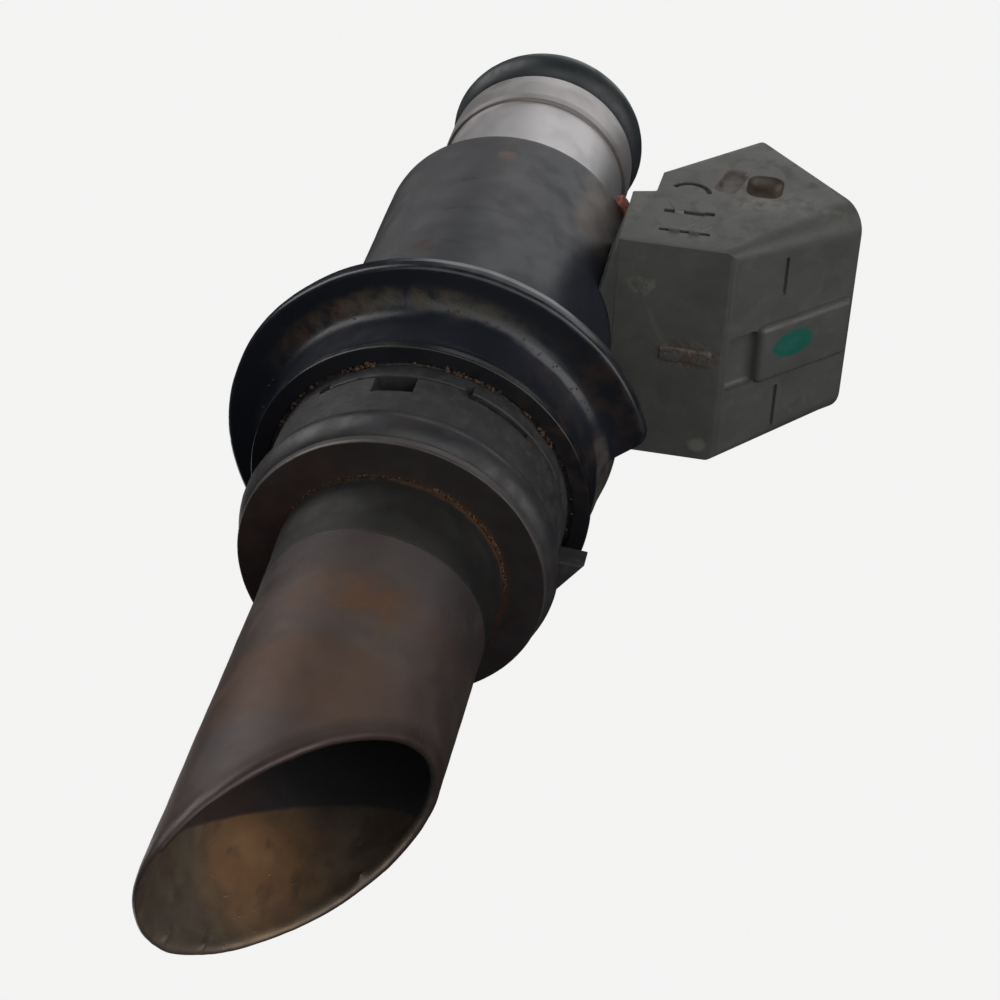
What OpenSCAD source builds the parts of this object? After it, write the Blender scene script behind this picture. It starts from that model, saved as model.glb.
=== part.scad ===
// Top-feed fuel injector with an angled two-pin connector and a long, slant-cut deflector tube.
// Millimetres. +Z runs up the injector's axis towards the fuel inlet, and +X points to the connector.
// The origin is the centre of the front face of the disc that retains the lower seal.

/* [Deflector tube] */
// Outer radius of the deflector tube
tube_r = 5.23; // [4.9:0.01:5.24]
// Wall thickness of the deflector tube
tube_wall = 0.48; // [0.3:0.01:0.7]
// Height of the slant cut on the axis
cut_z = -18.18; // [-24:0.01:-14]
// Angle of the slant cut, away from square
cut_angle = 43.4; // [0:0.1:50]

/* [Lower seal] */
// Radius of the disc that retains the lower seal
retainer_r = 7.3; // [6.9:0.01:7.6]
// Outer radius of the lower seal
lower_seal_r = 7.65; // [7.6:0.01:7.8]
// Radius of the lower seal's section
lower_seal_section_r = 1.2; // [1:0.01:1.3]
// Radius of the two plastic rings above the lower seal
ring_r = 7.25; // [6.8:0.01:7.4]

/* [Collar and sleeve] */
// Radius of the flange rim
flange_r = 10.6; // [10:0.01:11]
// Radius of the collar's neck, below the flange
neck_r = 8.2; // [8:0.01:8.3]
// Outer radius of the painted sleeve
sleeve_r = 6.93; // [6.8:0.01:7.1]
// Height of the sleeve's top edge
sleeve_top = 29.8; // [29:0.01:30]

/* [Fuel inlet] */
// Outer radius of the inlet tube
inlet_r = 5.15; // [5:0.01:5.2]
// Outer radius of the inlet's collar, below the upper seal
inlet_collar_r = 5.4; // [5.3:0.01:5.5]
// Outer radius of the upper seal
upper_seal_r = 5.59; // [5.5:0.01:5.65]
// Radius of the upper seal's section
upper_seal_section_r = 1.25; // [1:0.01:1.25]
// Height of the upper seal's centre
upper_seal_z = 42.05; // [42:0.01:42.3]

/* [Connector] */
// Width of the connector, across the two pins
conn_w = 13; // [12:0.1:14]
// Depth of the connector's open socket
socket_depth = 7.4; // [6:0.1:7.6]
// Radius of the socket's long corners, on its underside
conn_edge_r = 1.2; // [0.5:0.1:1.6]
// Thickness of the connector's walls
conn_wall = 0.95; // [0.8:0.01:1.1]
// Distance of each pin from the middle plane
pin_y = 2.5; // [2:0.1:3]

/* [Valve] */
// Lift of the valve, from shut to fully open
lift = 0.1; // [0.05:0.01:0.12]
// Radius of the ball
ball_r = 1.5; // [1.45:0.01:1.55]

/* [Hidden] */
$fn = 64;
eps = 0.01;

// Gap between pieces that touch in the real part
gap = 0.02;
// Gap between pieces that stand just clear of each other
clear = 0.05;

// Heights along the axis, from the tip upwards
collar_z = -3.9;
spigot_z = -5.4;
plate_t = 0.2;
seat_z = -1.5;
seat_top = 1.4;
seal_groove_z = 0.35;
retainer_t = 0.5;
lower_seal_z = retainer_t + lower_seal_section_r;
support_z = lower_seal_z + lower_seal_section_r + clear;
clip_z = 5.5;
lip_z = 6.3;
neck_floor_z = 7.4;
shoulder_z = 8.65;
sleeve_z = 12.25;
stem_guide_top = 12.4;
armature_z = 12.8;
guide_z = 13;
valve_flange_top = 13.9;
armature_top = 17;
core_z = armature_top + lift + gap;
guide_top = 19;
bobbin_z = 14.1;
bobbin_top = 22.3;
washer_z = 22.4;
washer_top = 23.4;
inlet_z = 27.6;
sleeve_lip_z = sleeve_top - 0.8;
core_top = 31;
filter_z = 32;
filter_top = 42.4;
inlet_top = 44.2;
spring_z = 15.5;
spring_top = 24;
adjuster_top = 29;

// Radii of the inner pieces
tube_bore_r = tube_r - tube_wall;
nose_r = 4.3;
nose_bore_r = 3.05;
seat_r = 3;
outlet_r = 0.8;
stem_r = 0.95;
stem_bore_r = 2;
valve_mid_r = 5.4;
valve_flange_r = 6.08;
armature_r = 3.12;
guide_bore_r = 3.2;
guide_r = 3.5;
core_r = 3.45;
core_bore_r = 1.7;
bobbin_hub_r = 4.15;
bobbin_flange_t = 0.8;
filter_r = 2.1;
inlet_bore_r = 2.75;
sleeve_bore_r = 6.1;
upper_seal_groove_r = upper_seal_r - 2 * upper_seal_section_r - gap;

// The ball rests on the seat's cone: this is its centre's height when shut
cone_angle = 45;
cone_z = -0.6;
cone_depth = 1.35;
seat_gap = 0.005;
ball_z = cone_z - outlet_r + (ball_r + seat_gap) / cos(cone_angle);
stem_z = ball_z + 1.15;
stem_grip = 1.2;

// Connector geometry: the socket's axis leans 45 degrees out from the injector's axis
socket_lean = 45;
socket_h = 8.83;
socket_len = 8.6;
conn_face_z = 21.5;
conn_corner_x = 12.96;
conn_top_z = 26.5;
conn_back_len = 6.7;
conn_root_x = 6.95;
conn_step_x = 7.2;
mouth_low = [conn_corner_x + socket_len * sin(socket_lean), conn_face_z + socket_len * cos(socket_lean)];
mouth_high = mouth_low + socket_h * [-cos(socket_lean), sin(socket_lean)];
mouth_mid = (mouth_low + mouth_high) / 2;
conn_heel = mouth_high - conn_back_len * [sin(socket_lean), cos(socket_lean)];
terminal_z = 24;
terminal_bend_x = terminal_z - mouth_mid[1] + mouth_mid[0];
terminal_t = 0.64;
terminal_w = 2.2;
terminal_recess = 4.3;
terminal_foot_x = 4.15;

// Ring between two radii and two heights
module ring(outer_r, inner_r, z_low, z_high) {
  translate([0, 0, z_low])
    difference() {
      cylinder(r = outer_r, h = z_high - z_low);
      translate([0, 0, -1])
        cylinder(r = inner_r, h = z_high - z_low + 2);
    }
}

// Round seal of one section, centred at height z
module o_ring(outer_r, section_r, z) {
  translate([0, 0, z])
    rotate_extrude()
      translate([outer_r - section_r, 0])
        circle(r = section_r);
}

// Everything above the slant cut
module above_cut() {
  size = 80;
  translate([0, 0, cut_z])
    rotate([0, -cut_angle, 0])
      translate([-size / 2, -size / 2, 0])
        cube(size);
}

module deflector_tube() {
  color([0.36, 0.27, 0.23])
    intersection() {
      ring(tube_r, tube_bore_r, cut_z - 12, collar_z);
      above_cut();
    }
}

// Lower end of the valve assembly: it flares to meet the retainer, and its spigot holds the tube
module deflector_collar() {
  flare_r = 5.36;
  flare_z = -0.8;
  spigot_bore_r = 4;
  seam_step = 0.03;
  color([0.36, 0.36, 0.32])
    rotate_extrude()
      polygon([
        [spigot_bore_r, spigot_z], [tube_bore_r, spigot_z], [tube_bore_r, collar_z],
        [tube_r + seam_step, collar_z], [flare_r, flare_z], [flare_r, 0],
        [nose_r, 0], [nose_r, seat_z], [spigot_bore_r, seat_z]
      ]);
}

module seal_retainer() {
  color([0.17, 0.13, 0.12])
    ring(retainer_r, nose_r, 0, retainer_t);
}

module lower_o_ring() {
  color([0.12, 0.12, 0.12])
    o_ring(lower_seal_r, lower_seal_section_r, lower_seal_z);
}

// Windows and thin slots, by turns, in the upper edge of the support ring
module ring_windows() {
  window_count = 2;
  window_angle = 360 / window_count;
  first_window = -98;
  slot_turn = 40.5;
  window_w = 2;
  window_h = 1.3;
  window_depth = 1.2;
  slot_w = 3.6;
  slot_h = 0.5;
  slot_depth = 0.6;
  for (i = [0:window_count - 1])
    rotate([0, 0, first_window + i * window_angle]) {
      translate([ring_r - window_depth, -window_w / 2, clip_z - window_h])
        cube([2 * window_depth, window_w, window_h + 1]);
      rotate([0, 0, slot_turn])
        translate([ring_r - slot_depth, -slot_w / 2, clip_z - slot_h])
          cube([2 * slot_depth, slot_w, slot_h + 1]);
    }
}

// Ear on the support ring: a steep side at its tip, and a straight ramp back to the ring
module keying_ear() {
  ear_r = 8.64;
  ear_turn = 4;
  ear_z = 3.3;
  ear_h = 1.3;
  root_r = ring_r - 0.4;
  sweep = acos(ring_r / ear_r);
  rotate([0, 0, ear_turn])
    translate([0, 0, ear_z])
      linear_extrude(height = ear_h)
        polygon([
          [root_r, 0], [ear_r, 0], [ring_r * cos(sweep), ring_r * sin(sweep)],
          [root_r * cos(sweep), root_r * sin(sweep)]
        ]);
}

// Ring above the lower seal: its underside is cupped to hold the seal
module seal_support_ring() {
  cup_r = 6.8;
  cup_h = 0.28;
  color([0.09, 0.09, 0.1]) {
    difference() {
      rotate_extrude()
        polygon([
          [nose_r + clear, support_z], [cup_r, support_z], [ring_r, support_z - cup_h],
          [ring_r, clip_z], [nose_r + clear, clip_z]
        ]);
      ring_windows();
    }
    keying_ear();
  }
}

module clip_ring() {
  groove_z = clip_z + 0.85;
  groove_w = 0.2;
  groove_depth = 0.25;
  color([0.08, 0.08, 0.09])
    difference() {
      ring(ring_r, nose_r + clear, clip_z + clear, neck_floor_z - gap);
      ring(ring_r + 1, ring_r - groove_depth, groove_z, groove_z + groove_w);
    }
}

// Steel body that holds the seat and guides the stem
module valve_body() {
  color([0.55, 0.55, 0.54])
    rotate_extrude()
      polygon([
        [nose_bore_r, seat_z], [nose_r, seat_z], [nose_r, shoulder_z], [valve_mid_r, shoulder_z],
        [valve_mid_r, sleeve_z + clear], [valve_flange_r, sleeve_z + clear],
        [valve_flange_r, valve_flange_top], [guide_r, valve_flange_top], [guide_r, guide_z],
        [guide_bore_r, guide_z], [guide_bore_r, stem_guide_top],
        [stem_bore_r, stem_guide_top], [stem_bore_r, seat_top + clear], [nose_bore_r, seat_top + clear]
      ]);
}

// Thin plate over the seat's outlet, with four metering holes
module orifice_plate() {
  plate_r = 3.6;
  hole_count = 4;
  hole_r = 0.16;
  hole_ring_r = 0.5;
  first_hole = 45;
  color([0.6, 0.6, 0.6])
    translate([0, 0, seat_z - plate_t])
      difference() {
        cylinder(r = plate_r, h = plate_t);
        for (i = [0:hole_count - 1])
          rotate([0, 0, first_hole + i * 360 / hole_count])
            translate([hole_ring_r, 0, -1])
              cylinder(r = hole_r, h = plate_t + 2, $fn = 24);
      }
}

// Seat with a cone for the ball, and a groove round it for its own small seal
module valve_seat() {
  groove_half_h = 0.32;
  groove_floor_r = seat_r - 0.5;
  cone_r = outlet_r + cone_depth;
  color([0.62, 0.62, 0.63])
    rotate_extrude()
      polygon([
        [outlet_r, seat_z], [seat_r, seat_z], [seat_r, seal_groove_z - groove_half_h],
        [groove_floor_r, seal_groove_z - groove_half_h], [groove_floor_r, seal_groove_z + groove_half_h],
        [seat_r, seal_groove_z + groove_half_h], [seat_r, seat_top], [cone_r, seat_top],
        [cone_r, cone_z + cone_depth], [outlet_r, cone_z]
      ]);
}

module seat_o_ring() {
  section_r = 0.25;
  color([0.12, 0.12, 0.12])
    o_ring(seat_r + gap, section_r, seal_groove_z);
}

module valve_ball() {
  color([0.75, 0.75, 0.76])
    translate([0, 0, ball_z])
      difference() {
        sphere(r = ball_r);
        translate([0, 0, stem_z - ball_z])
          cylinder(r = ball_r, h = ball_r);
      }
}

// Hollow stem with two cross holes, which let the fuel out above the ball
module valve_stem() {
  bore_r = 0.6;
  hole_r = 0.35;
  hole_z = stem_z + 1.6;
  hole_len = 6;
  color([0.66, 0.66, 0.67])
    difference() {
      ring(stem_r, bore_r, stem_z, armature_z + stem_grip);
      for (side = [0, 90])
        rotate([0, 90, side])
          translate([-hole_z, 0, -hole_len / 2])
            cylinder(r = hole_r, h = hole_len, $fn = 24);
    }
}

// The stem's moving armature, with the spring's seat in its top
module armature() {
  spring_seat_r = 1.55;
  bore_r = 0.7;
  color([0.5, 0.5, 0.5])
    difference() {
      translate([0, 0, armature_z])
        cylinder(r = armature_r, h = armature_top - armature_z);
      translate([0, 0, armature_z - 1])
        cylinder(r = stem_r, h = stem_grip + 1);
      translate([0, 0, armature_z])
        cylinder(r = bore_r, h = armature_top - armature_z + 1);
      translate([0, 0, spring_z])
        cylinder(r = spring_seat_r, h = armature_top - spring_z + 1);
    }
}

// Point on the circle of the wire's section, on the spring's helix
function wire_point(turn, side, mean_r, wire_r, z) =
  let (r = mean_r + wire_r * cos(side))
  [r * cos(turn), r * sin(turn), z + wire_r * sin(side)];

// Coil spring: one closed tube swept along a helix
module return_spring() {
  turns = 9;
  steps = 16;
  sides = 8;
  mean_r = 1.2;
  wire_r = 0.2;
  rows = turns * steps;
  first_z = spring_z + eps + wire_r;
  rise = spring_top - spring_z - 2 * (wire_r + eps);
  points = [
    for (i = [0:rows], j = [0:sides - 1])
      wire_point(i * 360 / steps, j * 360 / sides, mean_r, wire_r, first_z + rise * i / rows)
  ];
  walls = [
    for (i = [0:rows - 1], j = [0:sides - 1])
      let (k = (j + 1) % sides)
      [i * sides + j, (i + 1) * sides + j, (i + 1) * sides + k, i * sides + k]
  ];
  caps = [[for (j = [0:sides - 1]) j], [for (j = [0:sides - 1]) rows * sides + sides - 1 - j]];
  color([0.7, 0.7, 0.7])
    polyhedron(points = points, faces = concat(walls, caps), convexity = 10);
}

// Pressed into the pole's bore to set the spring's load
module adjusting_sleeve() {
  bore_r = 0.9;
  color([0.72, 0.7, 0.62])
    ring(core_bore_r, bore_r, spring_top, adjuster_top);
}

// Thin sleeve that the armature slides in
module guide_sleeve() {
  color([0.78, 0.78, 0.77])
    ring(guide_r, guide_bore_r, guide_z, guide_top);
}

// Fixed pole that pulls the armature up, with the spring in its bore
module pole_core() {
  color([0.6, 0.6, 0.6])
    rotate_extrude()
      polygon([
        [core_bore_r, core_z], [guide_bore_r, core_z], [guide_bore_r, guide_top],
        [core_r, guide_top], [core_r, core_top], [core_bore_r, core_top]
      ]);
}

module coil_bobbin() {
  bore_r = guide_r + clear;
  flange_edge_r = 6;
  color([0.8, 0.78, 0.7]) {
    ring(bobbin_hub_r, bore_r, bobbin_z, bobbin_top);
    ring(flange_edge_r, bore_r, bobbin_z, bobbin_z + bobbin_flange_t);
    ring(flange_edge_r, bore_r, bobbin_top - bobbin_flange_t, bobbin_top);
  }
}

module coil_winding() {
  winding_r = 5.7;
  color([0.6, 0.3, 0.14])
    ring(winding_r, bobbin_hub_r, bobbin_z + bobbin_flange_t, bobbin_top - bobbin_flange_t);
}

// Steel washer that closes the magnetic path, open on one side for the terminals
module flux_washer() {
  cut_x = core_r + 0.4;
  color([0.62, 0.62, 0.62])
    difference() {
      ring(sleeve_bore_r, core_r, washer_z, washer_top);
      translate([cut_x, -conn_w / 2, washer_z - 1])
        cube([conn_w, conn_w, 3]);
    }
}

// One pin: it rises from the bobbin, leaves the sleeve and leans into the socket
module terminal(y) {
  foot_w = 1.4;
  reach = (mouth_mid[0] - terminal_bend_x) / sin(socket_lean) - terminal_recess;
  translate([0, y, 0]) {
    translate([terminal_foot_x, -foot_w / 2, bobbin_top])
      cube([terminal_t, foot_w, terminal_z - bobbin_top + terminal_t / 2]);
    translate([terminal_foot_x, -foot_w / 2, terminal_z - terminal_t / 2])
      cube([terminal_bend_x - terminal_foot_x, foot_w, terminal_t]);
    translate([terminal_bend_x, 0, terminal_z])
      rotate([0, socket_lean, 0])
        translate([-terminal_t / 2, -terminal_w / 2, -terminal_t / 4])
          cube([terminal_t, terminal_w, reach]);
  }
}

module terminals() {
  color([0.78, 0.74, 0.6])
    for (side = [-1, 1])
      terminal(side * pin_y);
}

// Painted steel sleeve, turned in at the top, with a window for the terminals
module body_sleeve() {
  edge = 0.15;
  window_w = 7;
  window_top = conn_top_z - 0.6;
  lip_r = inlet_r + clear;
  color([0.13, 0.15, 0.2])
    difference() {
      rotate_extrude()
        polygon([
          [sleeve_bore_r, sleeve_z], [sleeve_r, sleeve_z], [sleeve_r, sleeve_top - edge],
          [sleeve_r - edge, sleeve_top], [lip_r, sleeve_top], [lip_r, sleeve_lip_z],
          [sleeve_bore_r, sleeve_lip_z]
        ]);
      translate([0, -window_w / 2, washer_top])
        cube([conn_w, window_w, window_top - washer_top]);
    }
}

// Section of the collar: neck with a lip, concave underside and a rounded rim
module collar_section() {
  lip_r = 8.33;
  lip_h = 0.4;
  recess_r = 7.5;
  fillet_r = 1.3;
  rim_t = 1;
  rim_z = 9.85;
  rim_centre = flange_r - rim_t / 2;
  crown_r = 8.95;
  crown_z = 12.8;
  skirt_r = 7.6;
  skirt_z = 13.7;
  difference() {
    union() {
      polygon([
        [recess_r, lip_z], [lip_r, lip_z], [lip_r, lip_z + lip_h], [neck_r, lip_z + 2 * lip_h],
        [neck_r, rim_z], [rim_centre, rim_z], [rim_centre, rim_z + rim_t], [crown_r, crown_z],
        [skirt_r, skirt_z], [sleeve_r + gap, skirt_z],
        [sleeve_r + gap, sleeve_z - gap], [valve_mid_r + gap, sleeve_z - gap],
        [valve_mid_r + gap, shoulder_z - gap], [nose_r + gap, shoulder_z - gap],
        [nose_r + gap, neck_floor_z], [recess_r, neck_floor_z]
      ]);
      translate([rim_centre, rim_z + rim_t / 2])
        circle(r = rim_t / 2);
      translate([neck_r, rim_z - fillet_r])
        square([fillet_r, fillet_r + eps]);
    }
    translate([neck_r + fillet_r, rim_z - fillet_r])
      circle(r = fillet_r);
  }
}

// The part of the flange that is cut away, down to the neck, round the connector's side
module flange_cut() {
  cut_turn = 24;
  cut_r = neck_r + 0.15;
  cut_low = 8;
  cut_high = 12.1;
  wall_root = [7, 3.35];
  wall_end = [9.2, 8.28];
  far = 14;
  rotate([0, 0, cut_turn])
    translate([0, 0, cut_low])
      difference() {
        linear_extrude(height = cut_high - cut_low)
          polygon([
            wall_root, wall_end, [far, wall_end[1]], [far, -wall_end[1]],
            [wall_end[0], -wall_end[1]], [wall_root[0], -wall_root[1]]
          ]);
        translate([0, 0, -1])
          cylinder(r = cut_r, h = cut_high - cut_low + 2);
      }
}

// Blue-black moulded collar with the mounting flange
module flange_collar() {
  color([0.1, 0.12, 0.17])
    difference() {
      rotate_extrude()
        collar_section();
      flange_cut();
    }
}

// Outline of the connector in the middle plane, x against z
module connector_outline() {
  polygon([
    [conn_root_x, conn_face_z], [conn_corner_x, conn_face_z], mouth_low, mouth_high, conn_heel,
    [conn_step_x, conn_top_z], [conn_root_x, conn_top_z]
  ]);
}

// Bar along the socket's axis, with rounded long corners, that ends at the mouth
module socket_bar() {
  bar_len = 20;
  back_edge_r = 0.5;
  half_h = socket_h / 2;
  half_w = conn_w / 2;
  translate([mouth_mid[0], 0, mouth_mid[1]])
    rotate([0, socket_lean, 0])
      translate([0, 0, -bar_len])
        linear_extrude(height = bar_len + 1) {
          translate([back_edge_r - half_h, -half_w])
            square([socket_h - back_edge_r - conn_edge_r, conn_w]);
          translate([-half_h, back_edge_r - half_w])
            square([2 * back_edge_r, conn_w - 2 * back_edge_r]);
          translate([half_h - 2 * conn_edge_r, conn_edge_r - half_w])
            square([2 * conn_edge_r, conn_w - 2 * conn_edge_r]);
          for (side = [-1, 1]) {
            translate([back_edge_r - half_h, side * (half_w - back_edge_r)])
              circle(r = back_edge_r);
            translate([half_h - conn_edge_r, side * (half_w - conn_edge_r)])
              circle(r = conn_edge_r);
          }
        }
}

// The socket's hollow, at the mouth and leaning 45 degrees
module socket_space() {
  inner_h = socket_h - 2 * conn_wall;
  inner_w = conn_w - 2 * conn_wall;
  translate([mouth_mid[0], 0, mouth_mid[1]])
    rotate([0, socket_lean, 0])
      translate([-inner_h / 2, -inner_w / 2, -socket_depth])
        cube([inner_h, inner_w, socket_depth + 2]);
}

// Raised rib for the plug's latch, along the underside of the socket
module latch_rib() {
  rib_w = 3.5;
  rib_h = 0.4;
  rib_len = 6.4;
  rib_y = 0.35;
  root = 0.3;
  translate([conn_corner_x, rib_y, conn_face_z])
    rotate([0, socket_lean, 0])
      translate([-root, -rib_w / 2, socket_len - rib_len])
        cube([rib_h + root, rib_w, rib_len]);
}

// The socket's moulding outside the sleeve, with a narrower root against the sleeve
module socket_shell() {
  root_w = 7;
  root_x = sleeve_bore_r - 1.2;
  intersection() {
    translate([0, conn_w / 2, 0])
      rotate([90, 0, 0])
        linear_extrude(height = conn_w)
          connector_outline();
    socket_bar();
  }
  difference() {
    translate([root_x, -root_w / 2, conn_face_z])
      cube([conn_step_x - root_x, root_w, conn_top_z - conn_face_z]);
    cylinder(r = sleeve_r + gap, h = inlet_top);
  }
}

// The same moulding inside the sleeve: a ring round the pole, and a bridge through the sleeve's window
module inner_filling() {
  inner_z = washer_top + clear;
  inner_top = inlet_z - clear;
  bridge_w = 6.8;
  bridge_x = core_r + 1;
  bridge_top = conn_top_z - 0.8;
  translate([bridge_x, -bridge_w / 2, inner_z])
    cube([conn_step_x - bridge_x + 1, bridge_w, bridge_top - inner_z]);
  ring(sleeve_bore_r - gap, core_r + gap, inner_z, inner_top);
}

// Grey moulding with the two-pin socket
module connector_body() {
  color([0.42, 0.43, 0.4])
    difference() {
      union() {
        socket_shell();
        latch_rib();
        inner_filling();
      }
      socket_space();
      terminals();
    }
}

// Stainless inlet tube: an undercut at the sleeve, a collar, and the seal's groove behind an end lip
module inlet_tube() {
  foot_r = 6;
  foot_top = sleeve_lip_z - clear;
  undercut_r = inlet_r - 0.15;
  undercut_top = sleeve_top + 0.2;
  land_z = 37.3;
  land_top = 38.8;
  edge = 0.1;
  seal_half_h = upper_seal_section_r + 0.1;
  seal_low = upper_seal_z - seal_half_h;
  seal_high = upper_seal_z + seal_half_h;
  shoulder_r = inlet_collar_r - 0.27;
  lip_r = 4.4;
  lip_top_r = 4.1;
  color([0.75, 0.74, 0.72])
    rotate_extrude()
      polygon([
        [core_r, inlet_z], [foot_r, inlet_z], [foot_r, foot_top], [undercut_r, foot_top],
        [undercut_r, undercut_top], [inlet_r, undercut_top], [inlet_r, land_z],
        [inlet_collar_r - edge, land_z], [inlet_collar_r, land_z + edge], [inlet_collar_r, land_top],
        [shoulder_r, seal_low], [upper_seal_groove_r, seal_low], [upper_seal_groove_r, seal_high],
        [lip_r, seal_high], [lip_r, inlet_top - 0.4], [lip_top_r, inlet_top],
        [inlet_bore_r, inlet_top], [inlet_bore_r, core_top], [core_r, core_top]
      ]);
}

module upper_o_ring() {
  color([0.1, 0.14, 0.13])
    o_ring(upper_seal_r, upper_seal_section_r, upper_seal_z);
}

// Plastic cage: a closed foot, four ribs and a top ring
module filter_frame() {
  rib_count = 4;
  rib_w = 0.7;
  rib_t = 0.5;
  ring_h = 0.8;
  wall = 0.3;
  color([0.82, 0.8, 0.72]) {
    translate([0, 0, filter_z])
      cylinder(r = filter_r + wall, h = ring_h);
    for (i = [0:rib_count - 1])
      rotate([0, 0, i * 360 / rib_count])
        translate([filter_r - rib_t / 2, -rib_w / 2, filter_z + ring_h / 2])
          cube([rib_t, rib_w, filter_top - filter_z - ring_h]);
    ring(filter_r + 0.4, filter_r - wall, filter_top - ring_h, filter_top);
  }
}

// Woven tube that the ribs hold, shown as a thin sleeve
module filter_mesh() {
  outer_r = filter_r - 0.3;
  mesh_t = 0.15;
  end = 0.8;
  color([0.7, 0.7, 0.62])
    ring(outer_r, outer_r - mesh_t, filter_z + end, filter_top - end);
}

// Brass ring that holds the filter in the inlet's bore
module filter_collar() {
  collar_h = 1.4;
  color([0.75, 0.6, 0.3])
    ring(inlet_bore_r, filter_r - 0.3, filter_top, filter_top + collar_h);
}

deflector_tube();
deflector_collar();
seal_retainer();
lower_o_ring();
seal_support_ring();
clip_ring();
valve_body();
orifice_plate();
valve_seat();
seat_o_ring();
valve_ball();
valve_stem();
armature();
return_spring();
adjusting_sleeve();
guide_sleeve();
pole_core();
coil_bobbin();
coil_winding();
flux_washer();
terminals();
body_sleeve();
flange_collar();
connector_body();
inlet_tube();
upper_o_ring();
filter_frame();
filter_mesh();
filter_collar();
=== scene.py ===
"""Looks of the slant-tube fuel injector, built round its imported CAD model."""
import math
import random

import bmesh
import bpy
from mathutils import Matrix, Vector, noise


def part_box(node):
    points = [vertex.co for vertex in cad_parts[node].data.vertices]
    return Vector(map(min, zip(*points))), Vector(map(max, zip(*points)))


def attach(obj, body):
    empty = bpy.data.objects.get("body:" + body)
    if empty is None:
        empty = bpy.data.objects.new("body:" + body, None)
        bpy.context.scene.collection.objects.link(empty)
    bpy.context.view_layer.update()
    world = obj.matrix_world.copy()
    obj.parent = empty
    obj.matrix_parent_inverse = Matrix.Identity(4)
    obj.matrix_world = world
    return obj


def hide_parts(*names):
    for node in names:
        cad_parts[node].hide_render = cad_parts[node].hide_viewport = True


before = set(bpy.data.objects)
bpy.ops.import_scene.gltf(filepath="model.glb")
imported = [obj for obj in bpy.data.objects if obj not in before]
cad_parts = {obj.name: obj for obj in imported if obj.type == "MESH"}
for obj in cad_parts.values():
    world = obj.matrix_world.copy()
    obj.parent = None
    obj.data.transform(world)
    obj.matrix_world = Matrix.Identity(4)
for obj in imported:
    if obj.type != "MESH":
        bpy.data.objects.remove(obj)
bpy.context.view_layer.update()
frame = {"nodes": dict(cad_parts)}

# ---------------------------------------------------------------- sizes, in millimetres
MM = 0.001
BODY = "injector"


def span(node):
    """Lowest and highest corner of a CAD node, in millimetres."""
    low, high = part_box(node)
    return low / MM, high / MM


tube_low, tube_high = span("deflector_tube")
root_low, root_high = span("deflector_collar")
retainer_low, retainer_high = span("seal_retainer")
seal_low, seal_high = span("lower_o_ring")
support_low, support_high = span("seal_support_ring")
clip_low, clip_high = span("clip_ring")
collar_low, collar_high = span("flange_collar")
sleeve_low, sleeve_high = span("body_sleeve")
conn_low, conn_high = span("connector_body")
inlet_low, inlet_high = span("inlet_tube")
upper_low, upper_high = span("upper_o_ring")
filter_low, filter_high = span("filter_collar")

TUBE_R = tube_high.x
TUBE_WALL = 0.48
NOSE_R = 4.32
ROOT_BORE_R = 4.0
CUT_Z = -18.18
CUT_SLOPE = math.tan(math.radians(43.4))
RETAINER_R = retainer_high.x
SEAL_R = seal_high.x
SEAL_SECTION = (seal_high.z - seal_low.z) / 2
RING_R = clip_high.x
NECK_R = 8.2
FLANGE_R = collar_high.y
SLEEVE_R = sleeve_high.y
INLET_R = 5.15
INLET_COLLAR_R = 5.36
UPPER_R = upper_high.x
UPPER_SECTION = (upper_high.z - upper_low.z) / 2
SOCKET_LEAN = math.radians(45)
PALE = (0.90, 0.90, 0.895, 1)

# ---------------------------------------------------------------- shapes


def rounded(corners, steps=6):
    """Closed outline through (r, z, radius) corners, each rounded by an arc of its own radius."""
    points = []
    count = len(corners)
    for i, (x, y, radius) in enumerate(corners):
        here = Vector((x, y))
        before = Vector(corners[i - 1][:2]) - here
        after = Vector(corners[(i + 1) % count][:2]) - here
        if radius <= 0:
            points.append(here)
            continue
        half = before.angle(after) / 2
        reach = min(radius / math.tan(half), 0.49 * before.length, 0.49 * after.length)
        start = here + before.normalized() * reach
        end = here + after.normalized() * reach
        for k in range(steps + 1):
            t = k / steps
            points.append((1 - t) ** 2 * start + 2 * t * (1 - t) * here + t ** 2 * end)
    return points


def divided(points, step, closed=True):
    """The same outline with no stretch longer than step."""
    result = []
    count = len(points)
    for i in range(count if closed else count - 1):
        a, b = points[i], points[(i + 1) % count]
        pieces = max(1, math.ceil((b - a).length / step))
        result += [a.lerp(b, k / pieces) for k in range(pieces)]
    if not closed:
        result.append(points[-1])
    return result


def turns(count, *dense):
    """Angles round the axis, in degrees, with extra ones in each (start, stop, step) stretch."""
    values = {round(-180 + i * 360 / count, 4) for i in range(count)}
    for start, stop, step in dense:
        for i in range(int((stop - start) / step) + 1):
            values.add(round(start + i * step, 4))
    return sorted(values)


def mesh_piece(name, points, faces):
    """A new object from points in millimetres."""
    mesh = bpy.data.meshes.new(name)
    mesh.from_pydata([Vector(p) * MM for p in points], [], faces)
    piece = bpy.data.objects.new(name, mesh)
    bpy.context.scene.collection.objects.link(piece)
    return piece


def object_from(work, name):
    """A new object from a bmesh in millimetres."""
    work.transform(Matrix.Scale(MM, 4))
    mesh = bpy.data.meshes.new(name)
    work.to_mesh(mesh)
    work.free()
    piece = bpy.data.objects.new(name, mesh)
    bpy.context.scene.collection.objects.link(piece)
    return piece


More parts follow.
